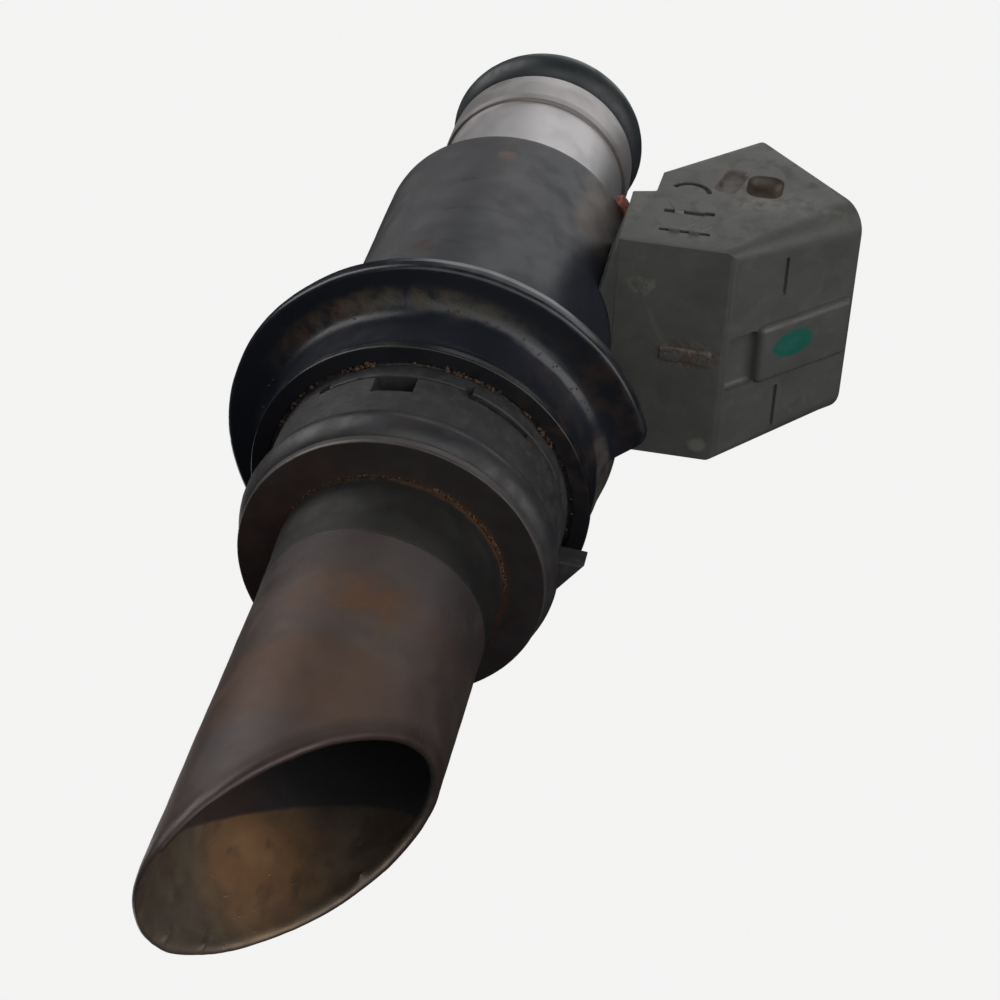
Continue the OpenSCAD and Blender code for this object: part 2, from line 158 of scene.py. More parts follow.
def tidy_mesh(piece, merge=0.002, sharp=38):
    """Joins doubled points, turns faces outwards and smooths all but the sharp edges."""
    work = bmesh.new()
    work.from_mesh(piece.data)
    bmesh.ops.remove_doubles(work, verts=work.verts, dist=merge * MM)
    bmesh.ops.dissolve_degenerate(work, edges=work.edges, dist=merge * MM / 4)
    bmesh.ops.recalc_face_normals(work, faces=work.faces)
    work.to_mesh(piece.data)
    work.free()
    piece.data.polygons.foreach_set("use_smooth", [True] * len(piece.data.polygons))
    piece.data.set_sharp_from_angle(angle=math.radians(sharp))


def lathe(name, outline, angles, shape=None, sharp=38):
    """Turns a closed (r, z) outline round Z; shape(angle, r, z, index) may move each point."""
    rows = len(outline)
    points = []
    for angle in angles:
        c, s = math.cos(math.radians(angle)), math.sin(math.radians(angle))
        for index, (r, z) in enumerate(outline):
            dx = dy = 0.0
            if shape:
                r, z, dx, dy = shape(angle, r, z, index)
            points.append((r * c + dx, r * s + dy, z))
    faces = []
    for i in range(len(angles)):
        j = (i + 1) % len(angles)
        for k in range(rows):
            m = (k + 1) % rows
            faces.append((i * rows + k, j * rows + k, j * rows + m, i * rows + m))
    piece = mesh_piece(name, points, faces)
    tidy_mesh(piece, sharp=sharp)
    return piece


def grain(angle, r, z, size, seed):
    """Smooth noise from -1 to 1 on the surface, with bumps of about this size."""
    a = math.radians(angle)
    return noise.noise(Vector((r * math.cos(a), r * math.sin(a), z + 37.0 * seed)) / size)


def box_points(low, high):
    """Corners and faces of a box, in millimetres."""
    corners = [(x, y, z) for x in (low[0], high[0]) for y in (low[1], high[1]) for z in (low[2], high[2])]
    faces = [(0, 1, 3, 2), (4, 6, 7, 5), (0, 4, 5, 1), (2, 3, 7, 6), (0, 2, 6, 4), (1, 5, 7, 3)]
    return corners, faces


def apply_modifiers(piece):
    """Replaces the mesh by its modified form."""
    graph = bpy.context.evaluated_depsgraph_get()
    made = bpy.data.meshes.new_from_object(piece.evaluated_get(graph))
    old = piece.data
    piece.modifiers.clear()
    piece.data = made
    bpy.data.meshes.remove(old)


def combine(piece, other, operation):
    """Joins or cuts a piece with a helper, which is then removed."""
    step = piece.modifiers.new("combine", "BOOLEAN")
    step.operation = operation
    step.solver = "EXACT"
    step.object = other
    bpy.context.view_layer.update()
    apply_modifiers(piece)
    bpy.data.objects.remove(other)


def block(name, low, high, bevel=0.0, steps=4, matrix=None):
    """A box with rounded edges, in millimetres, moved by a matrix if one is given."""
    work = bmesh.new()
    corners, faces = box_points(low, high)
    made = [work.verts.new(c) for c in corners]
    for face in faces:
        work.faces.new([made[i] for i in face])
    bmesh.ops.recalc_face_normals(work, faces=work.faces)
    if bevel:
        bmesh.ops.bevel(work, geom=work.edges[:], offset=bevel, segments=steps, profile=0.5, affect="EDGES")
    if matrix:
        work.transform(matrix)
    return object_from(work, name)


def soft_edges(piece, width, segments):
    """Rounds the sharp edges of a piece with a bevel modifier."""
    edge = piece.modifiers.new("edge", "BEVEL")
    edge.width = width * MM
    edge.segments = segments
    edge.limit_method = "ANGLE"
    edge.angle_limit = math.radians(50)


def settle(piece, slot, material, *nodes, body=BODY):
    """Gives a piece its body and material, and hides the CAD nodes that it stands for."""
    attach(piece, body)
    if nodes:
        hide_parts(*nodes)
    piece.data.materials.clear()
    piece.data.materials.append(material)
    return piece


# ---------------------------------------------------------------- materials


class Surface:
    """A procedural material. Every place and size in it is in millimetres of the object's frame."""

    def __init__(self, name, color, rough, metal=0.0, **sockets):
        self.material = bpy.data.materials.new(name)
        self.material.use_nodes = True
        self.tree = self.material.node_tree
        self.tree.nodes.clear()
        self.shader = self.tree.nodes.new("ShaderNodeBsdfPrincipled")
        output = self.tree.nodes.new("ShaderNodeOutputMaterial")
        self.tree.links.new(self.shader.outputs["BSDF"], output.inputs["Surface"])
        coords = self.tree.nodes.new("ShaderNodeTexCoord")
        scale = self.tree.nodes.new("ShaderNodeVectorMath")
        scale.operation = "SCALE"
        scale.inputs["Scale"].default_value = 1 / MM
        self.tree.links.new(coords.outputs["Object"], scale.inputs[0])
        self.place = scale.outputs["Vector"]
        split = self.tree.nodes.new("ShaderNodeSeparateXYZ")
        self.tree.links.new(self.place, split.inputs[0])
        self.x, self.y, self.z = split.outputs
        self.color = (*color, 1.0)
        self.rough = rough
        self.height = None
        self.shader.inputs["Metallic"].default_value = metal
        for socket, value in sockets.items():
            self.shader.inputs[socket.replace("_", " ")].default_value = value

    def put(self, socket, value):
        """Links a value, or sets it when it is a plain number or colour."""
        if isinstance(value, bpy.types.NodeSocket):
            self.tree.links.new(value, socket)
        else:
            socket.default_value = value

    def math(self, operation, a, b=0.0, clamp=False):
        step = self.tree.nodes.new("ShaderNodeMath")
        step.operation = operation
        step.use_clamp = clamp
        self.put(step.inputs[0], a)
        self.put(step.inputs[1], b)
        return step.outputs[0]

    def noise(self, size, detail=3.0, stretch=(1, 1, 1), seed=0.0, warp=0.0):
        """Noise from 0 to 1; stretch above 1 draws it out along that axis."""
        moved = self.tree.nodes.new("ShaderNodeVectorMath")
        moved.operation = "MULTIPLY_ADD"
        self.put(moved.inputs[0], self.place)
        moved.inputs[1].default_value = [1 / (size * s) for s in stretch]
        moved.inputs[2].default_value = (seed * 3.1, seed * 7.7, seed * 5.3)
        step = self.tree.nodes.new("ShaderNodeTexNoise")
        step.inputs["Scale"].default_value = 1.0
        step.inputs["Detail"].default_value = detail
        step.inputs["Distortion"].default_value = warp
        self.put(step.inputs["Vector"], moved.outputs[0])
        return step.outputs["Fac"]

    def step(self, value, low, high):
        """0 below low, 1 above high, smooth between; swap them to turn it round."""
        flip = low > high
        ramp = self.tree.nodes.new("ShaderNodeMapRange")
        ramp.interpolation_type = "SMOOTHSTEP"
        self.put(ramp.inputs["Value"], value)
        ramp.inputs["From Min"].default_value = min(low, high)
        ramp.inputs["From Max"].default_value = max(low, high)
        ramp.inputs["To Min"].default_value = 1.0 if flip else 0.0
        ramp.inputs["To Max"].default_value = 0.0 if flip else 1.0
        return ramp.outputs["Result"]

    def times(self, *values):
        """Product of masks."""
        result = values[0]
        for value in values[1:]:
            result = self.math("MULTIPLY", result, value)
        return result

    def ragged(self, value, amount, size, seed=0.0):
        """The value with noise added, so that an edge drawn from it wanders."""
        shift = self.math("SUBTRACT", self.noise(size, seed=seed), 0.5)
        return self.math("ADD", value, self.math("MULTIPLY", shift, 2 * amount))

    def band(self, value, low, high, soft):
        """1 between low and high."""
        return self.times(self.step(value, low - soft, low + soft),
            self.step(value, high + soft, high - soft))

    def cloud(self, low, high, *args, **options):
        """Cloudy patches: 0 where the noise is below low, 1 where it is above high."""
        return self.step(self.noise(*args, **options), low, high)

    def azimuth(self):
        """Angle round the axis in degrees, 0 at the connector, from -180 to 180."""
        return self.math("MULTIPLY", self.math("ARCTAN2", self.y, self.x), 180 / math.pi)

    def radius(self):
        """Distance from the axis."""
        return self.math("SQRT", self.math("ADD", self.times(self.x, self.x), self.times(self.y, self.y)))

    def spot(self, centre, size, soft=0.4, wander=0.3, seed=0.0):
        """A ragged patch round a point; size is its half-width along X, Y and Z."""
        moved = self.tree.nodes.new("ShaderNodeVectorMath")
        moved.operation = "SUBTRACT"
        self.put(moved.inputs[0], self.place)
        moved.inputs[1].default_value = centre
        scaled = self.tree.nodes.new("ShaderNodeVectorMath")
        scaled.operation = "DIVIDE"
        self.put(scaled.inputs[0], moved.outputs[0])
        scaled.inputs[1].default_value = size
        length = self.tree.nodes.new("ShaderNodeVectorMath")
        length.operation = "LENGTH"
        self.put(length.inputs[0], scaled.outputs[0])
        edge = self.ragged(length.outputs["Value"], wander, min(size) * 0.6, seed)
        return self.step(edge, 1.0 + soft, 1.0 - soft)

    def paint(self, color, mask, amount=1.0):
        """Covers the colour so far with another where the mask is set."""
        mix = self.tree.nodes.new("ShaderNodeMix")
        mix.data_type = "RGBA"
        factor = mask if amount == 1.0 else self.math("MULTIPLY", mask, amount)
        self.put(mix.inputs["Factor"], factor)
        self.put(mix.inputs[6], self.color)
        self.put(mix.inputs[7], (*color, 1.0))
        self.color = mix.outputs[2]

    def roughen(self, rough, mask):
        """Moves the roughness towards a value where the mask is set."""
        mix = self.tree.nodes.new("ShaderNodeMix")
        self.put(mix.inputs[0], mask)
        self.put(mix.inputs[2], self.rough)
        self.put(mix.inputs[3], rough)
        self.rough = mix.outputs[0]

    def relief(self, value, depth):
        """Adds a height in millimetres for the bump."""
        layer = self.math("MULTIPLY", value, depth)
        self.height = layer if self.height is None else self.math("ADD", self.height, layer)

    def finish(self):
        self.put(self.shader.inputs["Base Color"], self.color)
        self.put(self.shader.inputs["Roughness"], self.rough)
        if self.height is not None:
            bump = self.tree.nodes.new("ShaderNodeBump")
            bump.inputs["Distance"].default_value = MM
            self.put(bump.inputs["Height"], self.height)
            self.put(self.shader.inputs["Normal"], bump.outputs["Normal"])
        return self.material


RUST = (0.105, 0.042, 0.018)
OCHRE = (0.115, 0.070, 0.030)
DIRT = (0.045, 0.033, 0.022)
SOOT = (0.012, 0.011, 0.012)
DUST = (0.13, 0.12, 0.105)


def stained_steel():
    """The deflector tube: brown and purple-grey heat tint, rust blooms, and a painted shadow of the rim on
    the inner wall.
    """
    s = Surface("stained_steel", (0.086, 0.066, 0.061), 0.44, metal=0.5)
    angle = s.azimuth()
    cloud = s.noise(3.2, 3, (1, 1, 2.2), seed=1, warp=0.4)
    s.paint((0.108, 0.074, 0.061), s.step(cloud, 0.35, 0.72))
    s.paint((0.070, 0.057, 0.061), s.cloud(0.46, 0.76, 4.5, 3, (1, 1, 1.6), seed=2), 0.7)
    wide = s.times(s.band(s.ragged(s.z, 1.0, 2.5, 3), -16.4, -11.2, 1.0),
        s.band(s.ragged(angle, 14, 3, 4), -150, -50, 22))
    s.paint((0.112, 0.062, 0.039), wide, 0.7)
    bloom = s.spot((0.6, -5.1, -8.3), (2.4, 1.6, 1.5), 0.8, 0.7, 5)
    s.paint((0.135, 0.066, 0.033), s.times(bloom, s.cloud(0.25, 0.60, 0.9, 4, seed=6)), 0.85)
    s.paint((0.150, 0.092, 0.034), s.times(bloom, s.cloud(0.50, 0.74, 0.6, 4, seed=16)), 0.5)
    cool = s.band(s.ragged(s.z, 0.5, 2, 7), -7.0, -3.6, 1.2)
    s.paint((0.054, 0.050, 0.052), cool, 0.5)
    rim = s.step(s.math("ADD", s.math("SUBTRACT", s.z, s.math("MULTIPLY", s.x, CUT_SLOPE)), -CUT_Z), 0.9, 0.1)
    s.paint((0.045, 0.031, 0.029), rim, 0.6)
    specks = s.times(s.cloud(0.70, 0.76, 0.35, 2, seed=8), s.cloud(0.45, 0.6, 5, 2, seed=9))
    s.paint(RUST, specks, 0.7)
    inside = s.step(s.radius(), TUBE_R - 0.20, TUBE_R - 0.36)
    s.paint((0.115, 0.086, 0.066), inside, 0.95)
    olive = s.times(inside, s.cloud(0.40, 0.66, 2.2, 4, seed=10, warp=0.8))
    s.paint((0.170, 0.142, 0.096), olive, 0.75)
    amber = s.times(inside, s.spot((-2.4, 4.2, -15.5), (2.6, 2.6, 3.4), 0.6, 0.5, 11))
    s.paint((0.350, 0.190, 0.090), amber, 0.85)
    streaks = s.times(inside, s.cloud(0.50, 0.72, 0.8, 4, (1, 1, 3.0), seed=17, warp=0.5))
    s.paint((0.095, 0.070, 0.052), streaks, 0.5)
    # Painted shadow: the inner wall above a tilted plane is painted dark blue-grey as the rim's cast shadow,
    # browner towards -X.
    shadow_tilt = s.math("ADD", s.math("MULTIPLY", s.x, 0.266), s.math("MULTIPLY", s.y, 1.441))
    above_shadow_edge = s.math("SUBTRACT", s.math("SUBTRACT", s.z, shadow_tilt), -17.83)
    rim_shadow = s.times(inside, s.step(s.ragged(above_shadow_edge, 0.10, 1.5, 12), -0.12, 0.22))
    s.paint((0.055, 0.057, 0.066), rim_shadow, 0.95)
    brown = s.times(rim_shadow, s.step(s.ragged(s.x, 0.8, 1.5, 18), -1.2, -4.2))
    s.paint((0.085, 0.050, 0.040), brown, 0.7)
    s.relief(s.noise(0.12, 2, (1, 1, 0.14), seed=13), 0.003)
    s.relief(s.noise(0.5, 4, seed=14), 0.008)
    s.relief(specks, 0.02)
    s.roughen(0.60, s.cloud(0.42, 0.7, 2.0, 4, seed=15))
    s.roughen(0.75, s.math("MAXIMUM", specks, s.times(bloom, 0.6)))
    return s.finish()


def root_steel():
    """The band at the tube's root: dull brown-grey, with rust at the retainer."""
    s = Surface("root_steel", (0.032, 0.030, 0.028), 0.5, metal=0.45)
    s.paint((0.022, 0.021, 0.021), s.cloud(0.42, 0.70, 2.4, 4, (1, 1, 1.4), seed=21))
    s.paint((0.040, 0.035, 0.029), s.cloud(0.55, 0.75, 1.1, 4, seed=22), 0.6)
    angle = s.azimuth()
    shaded = s.times(s.step(s.ragged(angle, 3, 1.5, 29), -90, -86), s.step(angle, 170, 110))
    s.paint((0.018, 0.017, 0.017), shaded, 0.35)
    seam = s.band(s.ragged(s.z, 0.03, 0.4, 23), root_low.z + 1.42, root_low.z + 1.62, 0.08)
    s.paint((0.060, 0.050, 0.044), seam, 0.4)
    foot = s.step(s.ragged(s.z, 0.22, 0.5, 24), -0.40, -0.05)
    east = s.band(s.ragged(s.azimuth(), 12, 2, 25), -75, 10, 14)
    s.paint(OCHRE, s.times(foot, s.cloud(0.40, 0.60, 0.5, 4, seed=30)), 0.7)
    s.paint(RUST, s.times(foot, east), 0.8)
    s.relief(s.noise(0.16, 2, (1, 1, 0.2), seed=26), 0.003)
    s.relief(s.noise(0.5, 4, seed=27), 0.008)
    s.roughen(0.68, s.math("MAXIMUM", foot, s.cloud(0.45, 0.72, 1.5, 4, seed=28)))
    return s.finish()


def retainer_metal():
    """The dark disc: brown-black, with a bright edge that is painted highlight and wear, and rust round the
    tube.
    """
    s = Surface("retainer_metal", (0.033, 0.028, 0.028), 0.42, metal=0.3)
    west = s.step(s.ragged(s.x, 1.0, 2, 30), 0.0, -5.5)
    s.paint((0.052, 0.031, 0.027), s.times(west, s.cloud(0.25, 0.65, 1.6, 4, seed=31)), 0.9)
    s.paint((0.034, 0.023, 0.019), s.cloud(0.48, 0.72, 0.9, 5, seed=32), 0.7)
    ring = s.step(s.ragged(s.radius(), 0.14, 0.5, 33), 5.80, 5.42)
    east = s.step(s.ragged(s.x, 1.5, 2, 34), -1.0, 3.5)
    s.paint((0.075, 0.036, 0.020), s.times(ring, s.math("ADD", s.times(east, 0.6), 0.4)), 0.8)
    # Painted highlight with some wear: a light line round the disc's outer edge.
    edge = s.step(s.ragged(s.radius(), 0.03, 0.5, 35), RETAINER_R - 0.09, RETAINER_R - 0.02)
    s.paint((0.110, 0.098, 0.094), edge, 0.55)
    s.relief(s.noise(0.22, 4, seed=36), 0.005)
    s.roughen(0.58, s.cloud(0.42, 0.72, 1.2, 4, seed=37))
    return s.finish()


def rubber(name, color, tint, seed):
    """Moulded rubber: fine grain, dull patches and dry dust."""
    s = Surface(name, color, 0.42)
    s.paint(tint, s.cloud(0.44, 0.66, 1.7, 4, seed=seed), 0.8)
    s.paint(DUST, s.cloud(0.70, 0.80, 0.22, 3, seed=seed + 1), 0.35)
    s.relief(s.noise(0.10, 3, seed=seed + 2), 0.004)
    s.relief(s.noise(0.7, 3, seed=seed + 3), 0.012)
    s.roughen(0.62, s.cloud(0.4, 0.7, 1.1, 4, seed=seed + 4))
    return s.finish()


def ring_plastic():
    """Black plastic rings, dusty and with rust crumbs worked in."""
    s = Surface("ring_plastic", (0.024, 0.024, 0.026), 0.55)
    s.paint((0.036, 0.036, 0.038), s.cloud(0.40, 0.70, 0.9, 4, seed=51))
    s.paint((0.060, 0.057, 0.053), s.cloud(0.52, 0.74, 0.5, 5, seed=56), 0.5)
    s.paint(DUST, s.cloud(0.67, 0.76, 0.14, 3, seed=52), 0.5)
    s.paint(RUST, s.times(s.cloud(0.62, 0.72, 0.3, 4, seed=53), s.step(s.x, -2, 6)), 0.5)
    s.relief(s.noise(0.14, 3, seed=54), 0.006)
    s.roughen(0.75, s.cloud(0.45, 0.65, 0.9, 4, seed=55))
    return s.finish()


def collar_plastic():
    """The moulded collar: glossy blue-black, olive dirt in the fillet, faint rust tints, painted shade on the
    lip's lower edge and a painted highlight along the rim's outer edge.
    """
    s = Surface("collar_plastic", (0.0100, 0.0125, 0.0190), 0.28)
    angle = s.azimuth()
    s.paint((0.0145, 0.0165, 0.0225), s.cloud(0.38, 0.72, 2.5, 3, seed=61))
    under = s.step(s.z, 10.5, 9.9)
    s.paint((0.0105, 0.0125, 0.0165),
        s.times(under, s.step(s.ragged(s.radius(), 0.3, 2, 77), 9.0, 9.7)), 0.75)
    # Painted shade: the lip's lower edge, below z 6.95, is darkened.
    s.paint((0.010, 0.010, 0.011), s.step(s.ragged(s.z, 0.08, 0.6, 78), 6.95, 6.70), 0.8)
    fillet = s.band(s.ragged(s.radius(), 0.30, 1.2, 63), 8.55, 9.35, 0.35)
    north = s.band(s.ragged(angle, 10, 2, 62), -140, -62, 22)
    haze = s.cloud(0.25, 0.68, 0.8, 5, seed=64)
    s.paint((0.056, 0.047, 0.029), s.times(fillet, under, north, haze), 0.9)
    rusty = s.band(s.ragged(angle, 8, 2, 65), -150, -112, 12)
    s.paint((0.070, 0.034, 0.020), s.times(fillet, under, rusty, s.cloud(0.35, 0.65, 0.8, 4, seed=66)), 0.55)
    right = s.times(s.band(s.ragged(angle, 10, 2, 67), -50, -8, 12), s.cloud(0.42, 0.70, 1.0, 4, seed=68))
    s.paint((0.052, 0.032, 0.022), s.times(right, under), 0.45)
    wall = s.times(s.band(s.radius(), 8.15, 8.75, 0.12), s.band(angle, -16, 63, 3),
        s.band(s.z, 9.1, 12.4, 0.25))
    s.paint((0.075, 0.060, 0.048), s.times(wall, s.cloud(0.25, 0.65, 0.9, 5, seed=74)), 0.75)
    # Painted highlight: a patchy light band along the rim's outer edge.
    edge = s.step(s.ragged(s.radius(), 0.05, 0.6, 69), FLANGE_R - 0.36, FLANGE_R - 0.12)
    s.paint((0.038, 0.042, 0.050), s.times(edge, s.cloud(0.35, 0.65, 0.8, 4, seed=70)), 0.5)
    grit = s.times(s.cloud(0.70, 0.78, 0.14, 3, seed=71), s.cloud(0.40, 0.60, 1.5, 3, seed=75))
    s.paint(DUST, grit, 0.4)
    s.relief(s.noise(0.5, 3, seed=72), 0.004)
    s.relief(s.times(fillet, under, north, s.noise(0.2, 4, seed=76)), 0.03)
    s.roughen(0.75, s.math("MAXIMUM", s.times(fillet, under, north, haze), wall))
    s.roughen(0.42, s.times(s.cloud(0.45, 0.75, 1.3, 4, seed=73), 0.6))
    return s.finish()


def sleeve_paint():
    """The painted sleeve: satin blue-black, etched marks, a brown stain and rust specks, with a painted
    highlight band on one side and painted shade on the other.
    """
    s = Surface("sleeve_paint", (0.028, 0.0285, 0.033), 0.40, Coat_Weight=0.15, Coat_Roughness=0.35)
    angle = s.azimuth()
    # Painted highlight: a light band on the side from azimuth -150 to -105.
    s.paint((0.092, 0.092, 0.097), s.band(s.ragged(angle, 6, 3, 79), -150, -105, 17))
    s.paint((0.050, 0.048, 0.049), s.cloud(0.45, 0.80, 3.0, 3, (1, 1, 1.5), seed=81), 0.3)
    # Darker towards the bottom, below z 26, over azimuth -110 to 100.
    s.paint((0.018, 0.020, 0.026), s.times(s.step(s.z, 26.0, 17.0), s.band(angle, -110, 100, 15)), 0.6)
    # Painted shade: the far side, from azimuth -74 to 140, is darkened.
    east = s.band(s.ragged(angle, 5, 3, 82), -74, 140, 12)
    s.paint((0.009, 0.011, 0.020), east, 0.9)
    for k, (z, low, high) in enumerate(((18.3, -108, -58), (21.6, -108, -60), (24.9, -107, -96))):
        bow = s.math("MULTIPLY", s.math("SINE", s.math("MULTIPLY", angle, 0.07 + 0.01 * k)), 0.35)
        line = s.band(s.ragged(s.math("ADD", s.z, bow), 0.22, 0.7, 83 + k), z - 0.10, z + 0.10, 0.08)
        scuff = s.times(line, s.band(angle, low, high, 4), s.cloud(0.36, 0.52, 0.9, 3, seed=86 + k))
        s.paint((0.014, 0.015, 0.018), scuff, 0.8)
    stain = s.times(s.band(s.ragged(angle, 3, 1.2, 90), -52, -30, 4),
        s.band(s.ragged(s.z, 0.5, 1.0, 89), 23.9, 30.2, 0.7))
    s.paint((0.090, 0.065, 0.048), s.times(stain, s.cloud(0.15, 0.55, 1.2, 4, seed=88)), 0.85)
    speck = s.spot((0.0, -SLEEVE_R, 27.7), (0.5, 0.5, 0.4), 0.5, 0.5, 91)
    s.paint((0.12, 0.065, 0.035), speck, 0.6)
    low_rust = s.times(s.spot((-2.5, -6.5, 18.2), (0.7, 0.7, 0.8), 0.5, 0.6, 92),
        s.cloud(0.4, 0.6, 0.5, 4, seed=93))
    s.paint((0.08, 0.045, 0.028), low_rust, 0.7)
    scratch = s.cloud(0.72, 0.80, 0.09, 2, (1, 1, 9), seed=95)
    s.paint((0.075, 0.075, 0.078), s.times(scratch, s.cloud(0.5, 0.65, 2.2, 3, seed=96)), 0.35)
    edge = s.step(s.ragged(s.z, 0.05, 0.6, 97), sleeve_high.z - 0.16, sleeve_high.z - 0.04)
    s.paint((0.060, 0.060, 0.066), edge, 0.35)
    s.relief(s.noise(0.5, 3, seed=98), 0.005)
    s.roughen(0.52, s.cloud(0.4, 0.7, 1.6, 4, seed=99))
    return s.finish()


def connector_plastic():
    """The grey moulding: matte, scuffed and greasy, with brown stains, a green paint dab and painted shade in
    its sunk marks.
    """
    s = Surface("connector_plastic", (0.084, 0.084, 0.079), 0.5)
    s.paint((0.072, 0.072, 0.066), s.cloud(0.38, 0.70, 2.8, 4, seed=101))
    s.paint((0.100, 0.099, 0.094), s.cloud(0.52, 0.76, 0.9, 5, seed=102), 0.5)
    side = s.math("ABSOLUTE", s.y)
    plate = s.times(s.band(s.x, 8.3, 15.3, 0.1), s.band(s.z, 22.4, 30.6, 0.1))
    inner = s.step(s.math("SUBTRACT", s.x, s.z), -10.7, -10.9)
    # Painted shade: the floors of the sunk marks on the side faces are darkened nearly to black.
    sunk_mark_shade = s.times(s.band(side, conn_high.y - 1.2, conn_high.y - 0.09, 0.02), plate, inner)
    s.paint((0.018, 0.016, 0.015), sunk_mark_shade, 0.85)
    # Painted shade with brown dirt: the oval recess's floor is dark brown.
    hollow = s.times(s.band(s.x, 12.5, 14.9, 0.1), s.band(s.z, 27.2, 30.0, 0.1), sunk_mark_shade)
    s.paint((0.052, 0.033, 0.022), hollow, 0.9)
    pinkish = s.times(s.band(s.x, 11.0, 12.6, 0.15), s.band(s.z, 27.1, 30.3, 0.2), s.step(side, 6.0, 6.3))
    s.paint((0.105, 0.086, 0.076), s.times(pinkish, s.cloud(0.25, 0.60, 0.7, 4, seed=104)), 0.7)
    gouge = s.times(s.spot((10.9, 0.0, conn_low.z), (1.6, 0.75, 0.5), 0.5, 0.6, 105),
        s.cloud(0.40, 0.56, 0.4, 4, seed=106))
    s.paint((0.085, 0.054, 0.038), gouge, 0.75)
    faint = s.times(s.spot((8.4, -3.9, conn_low.z), (0.8, 0.5, 0.4), 0.4, 0.6, 116),
        s.cloud(0.40, 0.60, 0.35, 3, seed=117))
    s.paint((0.16, 0.155, 0.13), faint, 0.6)
    s.paint((0.20, 0.195, 0.17), s.spot((12.0, 5.55, conn_low.z), (0.45, 0.4, 0.4), 0.4, 0.4, 118), 0.55)
    pale = s.spot((15.6, -6.5, 27.2), (2.3, 0.8, 0.9), 0.7, 0.8, 107)
    s.paint((0.20, 0.19, 0.165), s.times(pale, s.cloud(0.42, 0.66, 0.6, 5, seed=108)), 0.4)
    warm = s.spot((13.3, -6.5, 26.6), (1.2, 0.6, 0.6), 0.6, 0.6, 119)
    s.paint((0.19, 0.165, 0.125), s.times(warm, s.cloud(0.38, 0.62, 0.5, 5, seed=120)), 0.5)
    dab = s.spot((16.01, 0.07, 24.56), (1.4, 0.85, 1.4), 0.12, 0.15, 109)
    s.paint((0.005, 0.105, 0.078), dab, 0.97)
    grease = s.cloud(0.52, 0.78, 1.8, 5, seed=110, warp=0.5)
    s.paint((0.060, 0.056, 0.047), grease, 0.4)
    scrape = s.times(s.cloud(0.72, 0.80, 0.12, 2, (1, 1, 5), seed=111), s.cloud(0.5, 0.6, 1.9, 3, seed=112))
    s.paint((0.16, 0.155, 0.14), scrape, 0.3)
    s.relief(s.noise(0.09, 3, seed=113), 0.006)
    s.relief(s.noise(0.9, 4, seed=114), 0.02)
    s.relief(gouge, -0.03)
    s.roughen(0.40, s.times(grease, 0.7))
    s.roughen(0.7, s.cloud(0.5, 0.7, 0.8, 4, seed=115))
    return s.finish()


def bright_steel():
    """The inlet tube: satin turned steel, warm grey, with a painted shadow line, brown in patches, at the
    step below its collar.
    """
    s = Surface("bright_steel", (0.60, 0.585, 0.59), 0.40, metal=0.75)
    s.paint((0.53, 0.51, 0.51), s.cloud(0.35, 0.70, 3.5, 3, seed=121), 0.7)
    s.paint((0.40, 0.38, 0.375), s.step(s.z, 37.30, 37.42), 0.75)
    # Painted shadow: a dark line under the collar's step, brown in patches.
    step_shadow_band = s.band(s.ragged(s.z, 0.03, 0.8, 122), 37.13, 37.34, 0.05)
    s.paint((0.14, 0.115, 0.10), step_shadow_band, 0.8)
    s.paint((0.20, 0.12, 0.08), s.times(step_shadow_band, s.cloud(0.45, 0.7, 1.3, 4, seed=123)), 0.6)
    shoulder = s.band(s.ragged(s.z, 0.04, 0.8, 128), 40.02, 40.9, 0.08)
    s.paint((0.10, 0.09, 0.085), shoulder, 0.7)
    s.paint((0.30, 0.22, 0.17), s.cloud(0.74, 0.82, 0.35, 4, seed=124), 0.4)
    s.relief(s.noise(0.06, 2, (6, 6, 0.6), seed=125), 0.001)
    s.relief(s.noise(0.9, 3, seed=126), 0.003)
    s.roughen(0.50, s.cloud(0.40, 0.75, 1.6, 3, seed=127))
    return s.finish()


def machined(name, color, rough, metal, seed, stain=RUST):
    """Turned metal with fine tool marks and faint stains, for pieces seen only in part."""
    s = Surface(name, color, rough, metal=metal)
    s.paint(tuple(0.7 * c for c in color), s.cloud(0.45, 0.7, 1.5, 4, seed=seed), 0.7)
    s.paint(stain, s.cloud(0.66, 0.8, 0.5, 5, seed=seed + 1), 0.4)
    s.relief(s.noise(0.05, 2, (5, 5, 0.6), seed=seed + 2), 0.003)
    s.roughen(min(1.0, rough + 0.2), s.cloud(0.45, 0.7, 0.8, 4, seed=seed + 3))
    return s.finish()


def crumb_dirt():
    """Loose rust and road dirt."""
    s = Surface("crumb_dirt", (0.060, 0.038, 0.024), 0.9)
    s.paint((0.12, 0.055, 0.025), s.cloud(0.5, 0.62, 0.25, 4, seed=141))
    s.paint((0.030, 0.028, 0.026), s.cloud(0.55, 0.7, 0.4, 3, seed=142))
    s.relief(s.noise(0.08, 4, seed=143), 0.02)
    return s.finish()


def gap_shade_and_dirt():
    """Near-black fill for a gap: painted shade, with a few rusty dirt grains."""
    s = Surface("gap_shade_and_dirt", (0.014, 0.012, 0.011), 0.9)
    s.paint((0.070, 0.036, 0.020), s.cloud(0.60, 0.70, 0.22, 4, seed=185), 0.8)
    s.paint((0.035, 0.030, 0.026), s.cloud(0.50, 0.65, 0.5, 3, seed=186), 0.6)
    s.relief(s.noise(0.1, 4, seed=187), 0.03)
    return s.finish()


def marker_paint():
    """Old orange-red marking paint, dusty and a little cracked."""
    s = Surface("marker_paint", (0.42, 0.15, 0.11), 0.6)
    s.paint((0.27, 0.085, 0.06), s.cloud(0.45, 0.65, 0.5, 4, seed=181), 0.8)
    s.paint(DIRT, s.cloud(0.60, 0.72, 0.2, 4, seed=182), 0.7)
    s.relief(s.noise(0.15, 4, seed=183), 0.02)
    return s.finish()


